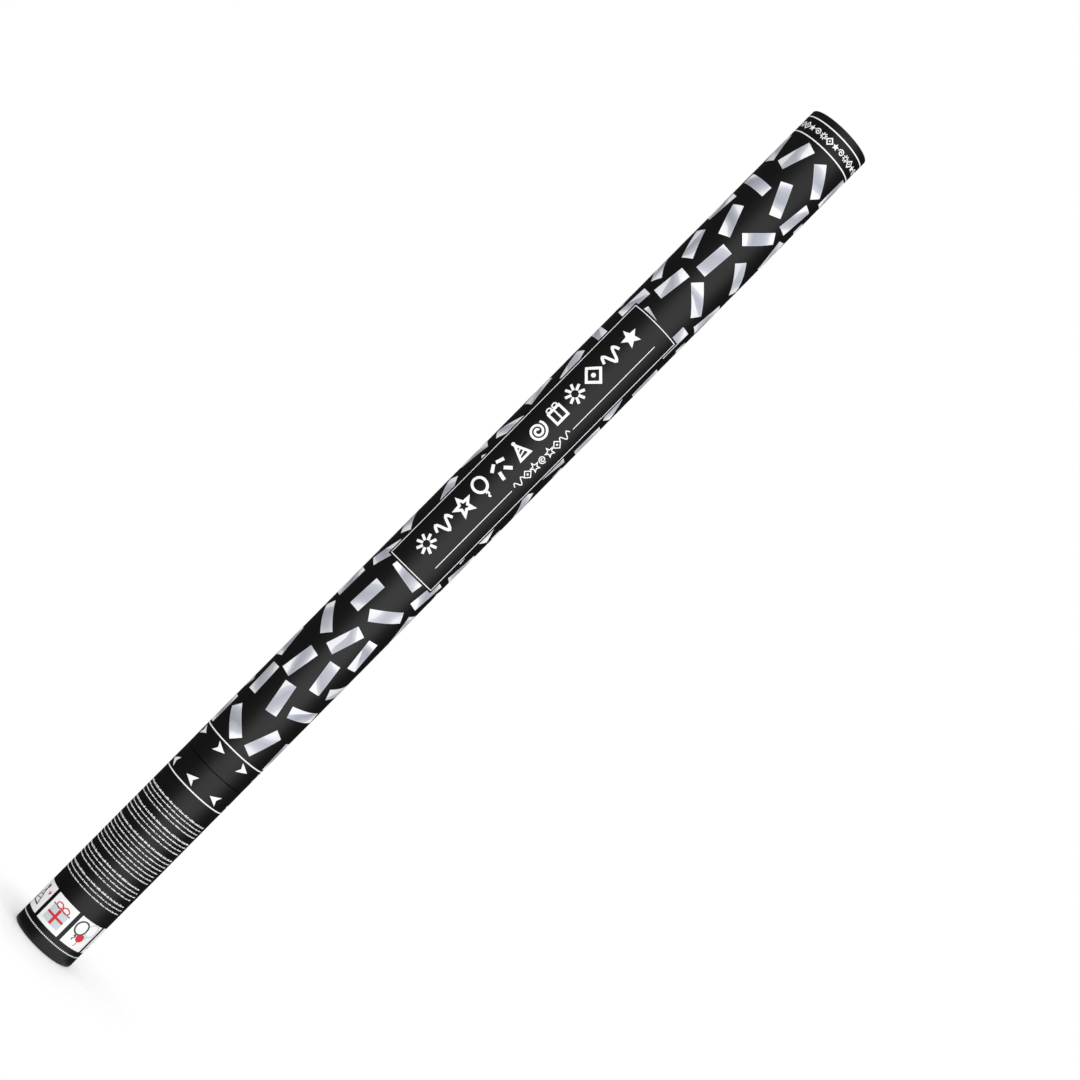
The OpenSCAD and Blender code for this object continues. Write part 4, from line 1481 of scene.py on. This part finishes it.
# %% The base plug
VENT_R = 5.0
BOSS_R = 6.2
PLUG_WALL = 1.4
PLUG_CLEAR = 0.03
FOOT_HEIGHT = 3.0
FOOT_WIDTH = 3.5
FLOOR_WALL = 2.0
CUP_R = 20.2
CUP_WALL = 1.2
CUP_TOP = 16.0
CUP_RIB_TOP = 14.0
RECESS = 0.8
FOOT_RIBS = 6
CUP_RIBS = 12
OVERLAP = 0.4
MOULD_ROUND = 0.35
MOULD_SIDES = 160

plug_r, plug_low, plug_high = reach("base_plug")
floor_top = FOOT_HEIGHT + FLOOR_WALL
foot_in = plug_r - FOOT_WIDTH
plug_out = plug_r - PLUG_CLEAR
plug_in = plug_r - PLUG_WALL
cup_out = CUP_R + CUP_WALL
outline = [
    (VENT_R, RECESS), (BOSS_R, RECESS), (BOSS_R, FOOT_HEIGHT), (foot_in, FOOT_HEIGHT), (foot_in, plug_low),
    (plug_out, plug_low), (plug_out, plug_high), (plug_in, plug_high), (plug_in, floor_top),
    (cup_out, floor_top), (cup_out, CUP_TOP), (CUP_R, CUP_TOP), (CUP_R, floor_top), (VENT_R, floor_top)]
fixed(joined("base_plug_moulding", [
    turned("plug_body", filleted(outline, MOULD_ROUND), black_abs, segments=MOULD_SIDES),
    ribs("foot_ribs", FOOT_RIBS, BOSS_R - OVERLAP, foot_in + OVERLAP, RECESS, FOOT_HEIGHT + OVERLAP),
    ribs("cup_ribs", CUP_RIBS, cup_out - OVERLAP, plug_in + OVERLAP, floor_top - OVERLAP, CUP_RIB_TOP),
]), "grip", "base_plug")

# %% [markdown]
# ## The lid
# The lid is what the muzzle shows: a shallow black cap a few millimetres down the bore. Its face
# has a raised rim, a shallow step and in the middle the small dimple that the mould's gate left.

# %% The muzzle lid
LID_T = 1.5
LID_WALL = 1.0
LID_ROUND = 0.3
RIM_WIDE = 1.8
RIM_SLOPE = 0.5
FACE_DROP = 0.35
STEP_R = 12.0
STEP_SLOPE = 0.6
STEP_RISE = 0.2
GATE_R = 2.2
GATE_SLOPE = 0.8
GATE_DROP = 0.1
ON_AXIS = 0.001
LID_RIBS = 8
LID_RIB_DEPTH = 1.6
LID_RIB_UP = 2.0
LID_RIB_SINK = 0.3

lid_r, lid_low, lid_high = reach("muzzle_lid")
face = lid_high - FACE_DROP
step = face + STEP_RISE
gate = face - GATE_DROP
under = lid_high - LID_T
lid_in = lid_r - LID_WALL
rim_in = lid_r - RIM_WIDE
outline = [
    (lid_r, lid_low), (lid_r, lid_high), (rim_in, lid_high), (rim_in - RIM_SLOPE, face),
    (STEP_R, face), (STEP_R - STEP_SLOPE, step), (GATE_R, step), (GATE_R - GATE_SLOPE, gate),
    (ON_AXIS, gate), (ON_AXIS, under), (lid_in, under), (lid_in, lid_low)]
fixed(joined("muzzle_lid_moulding", [
    turned("lid_body", filleted(outline, LID_ROUND), black_abs, segments=MOULD_SIDES, sharp=50),
    ribs("lid_ribs", LID_RIBS, lid_in - LID_RIB_DEPTH, lid_in + OVERLAP, lid_low + LID_RIB_UP,
         under + LID_RIB_SINK),
]), "lid", "muzzle_lid")

# %% [markdown]
# ## Foam pieces
# The pad, the two centring rings and the sealing disc are cut from EVA foam sheet. A knife leaves a
# slightly hollow edge, because the foam springs back in its middle, and soft corners. Each is
# turned from such an outline.

# %% Pad, rings and disc of foam
FOAM_CLEAR = 0.06
FOAM_HOLLOW = 0.12
FOAM_ROUND = 0.8
FOAM_ROUND_SHARE = 0.3


def foam(name, node, body, inner):
    """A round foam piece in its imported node's place."""
    outer, low, high = reach(node)
    outer, low, high = outer - FOAM_CLEAR, low + FOAM_CLEAR, high - FOAM_CLEAR
    middle = (low + high) / 2
    corners = [(inner, low), (outer, low), (outer - FOAM_HOLLOW, middle), (outer, high), (inner, high)]
    if inner > ON_AXIS:
        corners.append((inner + FOAM_HOLLOW, middle))
    soft = min(FOAM_ROUND, (high - low) * FOAM_ROUND_SHARE)
    piece = turned(name, filleted(corners, soft, 4), eva_foam, sharp=60)
    fixed(piece, body, node)


cylinder_r = reach("air_cylinder")[0]
foam("cylinder_foam_pad", "cylinder_pad", "grip", BOSS_R + FOAM_CLEAR)
foam("lower_foam_ring", "lower_centring_ring", "grip", cylinder_r + FOAM_CLEAR)
foam("upper_foam_ring", "upper_centring_ring", "grip", cylinder_r + FOAM_CLEAR)
foam("sealing_foam_disc", "sealing_disc", "charge", ON_AXIS)

# %% [markdown]
# ## Foil slips in the barrel
# The charge is ten layers of slips that stand on end, packed flat against each other as they came
# off the cutter. Each layer is three stacks that just fit the bore, and is turned against the one
# below. Real foil is a fiftieth of a millimetre thick: the slips here are a tenth, and fewer.
#
# The tree copies one slip along a line, gives each its own small drop from a seeded random value,
# and bends all of them in one shared wave with a little wave of their own, because a packed pile
# keeps the curl of the reel.

# %% The tree of packed slips
OWN_SCALE = 0.77
OWN_SHARE = 0.8

packed, given = new_tree("packed_slips", count="Int", pitch="Float", drop="Float", wave="Float",
                         length="Float", seed="Int")
start = add(packed, MATH, (given["count"], 1.0), operation="SUBTRACT")
for factor in (given["pitch"], -0.5):
    start = add(packed, MATH, (start, factor), operation="MULTIPLY")
start = add(packed, "ShaderNodeCombineXYZ", {"Y": start})
step = add(packed, "ShaderNodeCombineXYZ", {"Y": given["pitch"]})
row = add(packed, "GeometryNodeMeshLine", {"Count": given["count"], "Start Location": start, "Offset": step})
index = add(packed, "GeometryNodeInputIndex")
row = add(packed, "GeometryNodeStoreNamedAttribute", {"Geometry": row, "Name": "slip_number", "Value": index},
          data_type="FLOAT")
down = add(packed, MATH, (given["drop"], -1.0), operation="MULTIPLY")
down = add(packed, "FunctionNodeRandomValue", {2: down, 3: 0.0, "Seed": given["seed"]}, data_type="FLOAT")
down = add(packed, "ShaderNodeCombineXYZ", {"Z": down.outputs[1]})
row = add(packed, "GeometryNodeSetPosition", {"Geometry": row, "Offset": down})
shape = add(packed, "GeometryNodeInstanceOnPoints", {"Points": row, "Instance": given["Mesh"]})
shape = add(packed, "GeometryNodeRealizeInstances", (shape,))
number = add(packed, "GeometryNodeInputNamedAttribute", {"Name": "slip_number"}, data_type="FLOAT")
place = add(packed, "GeometryNodeInputPosition")
height = add(packed, "ShaderNodeSeparateXYZ", (place,)).outputs["Z"]
bow = add(packed, MATH, (height, given["length"]), operation="DIVIDE")
bow = add(packed, MATH, (bow, 2 * math.pi, given["seed"]), operation="MULTIPLY_ADD")
bow = add(packed, MATH, (bow,), operation="SINE")
own = add(packed, "ShaderNodeCombineXYZ", {"X": number, "Z": bow})
own = add(packed, "ShaderNodeTexNoise", {"Vector": own, "Scale": OWN_SCALE, "Detail": 1.0})
own = add(packed, MATH, (own, 0.5), operation="SUBTRACT")
bow = add(packed, MATH, (own, OWN_SHARE, bow), operation="MULTIPLY_ADD")
bow = add(packed, MATH, (bow, given["wave"]), operation="MULTIPLY")
bow = add(packed, "ShaderNodeCombineXYZ", {"Y": bow})
shape = add(packed, "GeometryNodeSetPosition", {"Geometry": shape, "Offset": bow})
end_tree(packed, given, shape)
print("the tree of packed slips has", len(packed.nodes), "nodes")

# %% [markdown]
# A slip is divided along its length alone, because that is the way it bends. The chord of the
# bore at a stack's outer side tells how many slips it holds. Each stack is turned with its layer.

# %% One slip and one stack
FOIL_SLIP = 12.5
FOIL_T = 0.1
FOIL_BENDS = 8
SLIP_PITCH = 0.75
STACK_GAP = 0.2
FOIL_WAVE = 0.32
FOIL_DROP = 0.7
CHARGE_R = 23.4


def upright_slip(name, length):
    """One closed slip on end, divided along its length so that it can bend."""
    slip = bmesh.new()
    corners = block(-FOIL_SLIP / 2, -FOIL_T / 2, FOIL_SLIP / 2, FOIL_T / 2)[0]
    rings = []
    for n in range(FOIL_BENDS + 1):
        z = length * n / FOIL_BENDS
        rings.append([slip.verts.new((x * MM, y * MM, z * MM)) for x, y in corners])
    for low, high in zip(rings, rings[1:]):
        for n in range(4):
            slip.faces.new((low[n], low[(n + 1) % 4], high[(n + 1) % 4], high[n]))
    slip.faces.new(rings[0][::-1])
    slip.faces.new(rings[-1])
    return mesh_of(name, slip)


def stack(side, seed, low, length, turn):
    """One stack of slips, cut to the chord of the bore that it has there, and turned with its layer."""
    middle = (FOIL_SLIP + STACK_GAP) * side
    far = abs(middle) + FOIL_SLIP / 2
    room = math.sqrt(CHARGE_R**2 - far**2) - FOIL_WAVE * (1 + OWN_SHARE / 2) - FOIL_T
    made = run_tree("stack", packed, upright_slip("stack", length), silver_foil,
                    count=int(2 * room / SLIP_PITCH), pitch=SLIP_PITCH * MM, drop=FOIL_DROP * MM,
                    wave=FOIL_WAVE * MM, length=length * MM, seed=seed)
    for corner in made.data.vertices:
        corner.co += Vector((middle, 0, low)) * MM
        corner.co.rotate(Quaternion((0, 0, 1), turn))
    return made


print("a slip is", FOIL_SLIP, "mm wide and bends in", FOIL_BENDS, "steps")

# %% [markdown]
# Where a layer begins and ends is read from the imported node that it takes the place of. A little
# room at both ends keeps the slips of two layers out of each other.

# %% Ten layers of foil slips
LAYERS = 10
LAYER_TURN = 37
ROOM_UNDER = 0.1
ROOM_OVER = 0.2

for n in range(LAYERS):
    number = f"{n + 1:02d}"
    low, high = (corner.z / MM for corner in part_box("confetti_layer_" + number))
    low += FOIL_DROP + ROOM_UNDER
    stacks = [stack(side, 3 * n + 4 + side, low, high - ROOM_OVER - low, math.radians(LAYER_TURN * n))
              for side in (-1, 0, 1)]
    fixed(joined("foil_layer_" + number, stacks), "charge", "confetti_layer_" + number)

# %% [markdown]
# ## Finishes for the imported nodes
# The board tubes, the cylinder, the moulded hubs, the valve and the small metal and rubber parts
# already have their true shape, so they stay as they were packed and take a finish. Their meshes
# aren't touched.

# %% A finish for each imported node
PACKED_FINISH = {
    wound_board: ["grip_tube", "barrel_tube"],
    drawn_aluminium: ["air_cylinder", "crimp_ferrule"],
    nitrile_rubber: ["fill_bung", "neck_gasket", "plug_o_ring"],
    white_acetal: ["stator_hub", "rotor_hub", "valve_plug"],
    natural_nylon: ["thrust_washer"],
    spring_steel: ["retaining_ring", "cross_pin"],
    black_abs: ["driver_sleeve"],
    pulp_board: ["pressure_wad"],
}
for material, nodes in PACKED_FINISH.items():
    for node in nodes:
        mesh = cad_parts[node].data
        mesh.materials.clear()
        mesh.materials.append(material)
    print(material.name, "on", ", ".join(nodes))
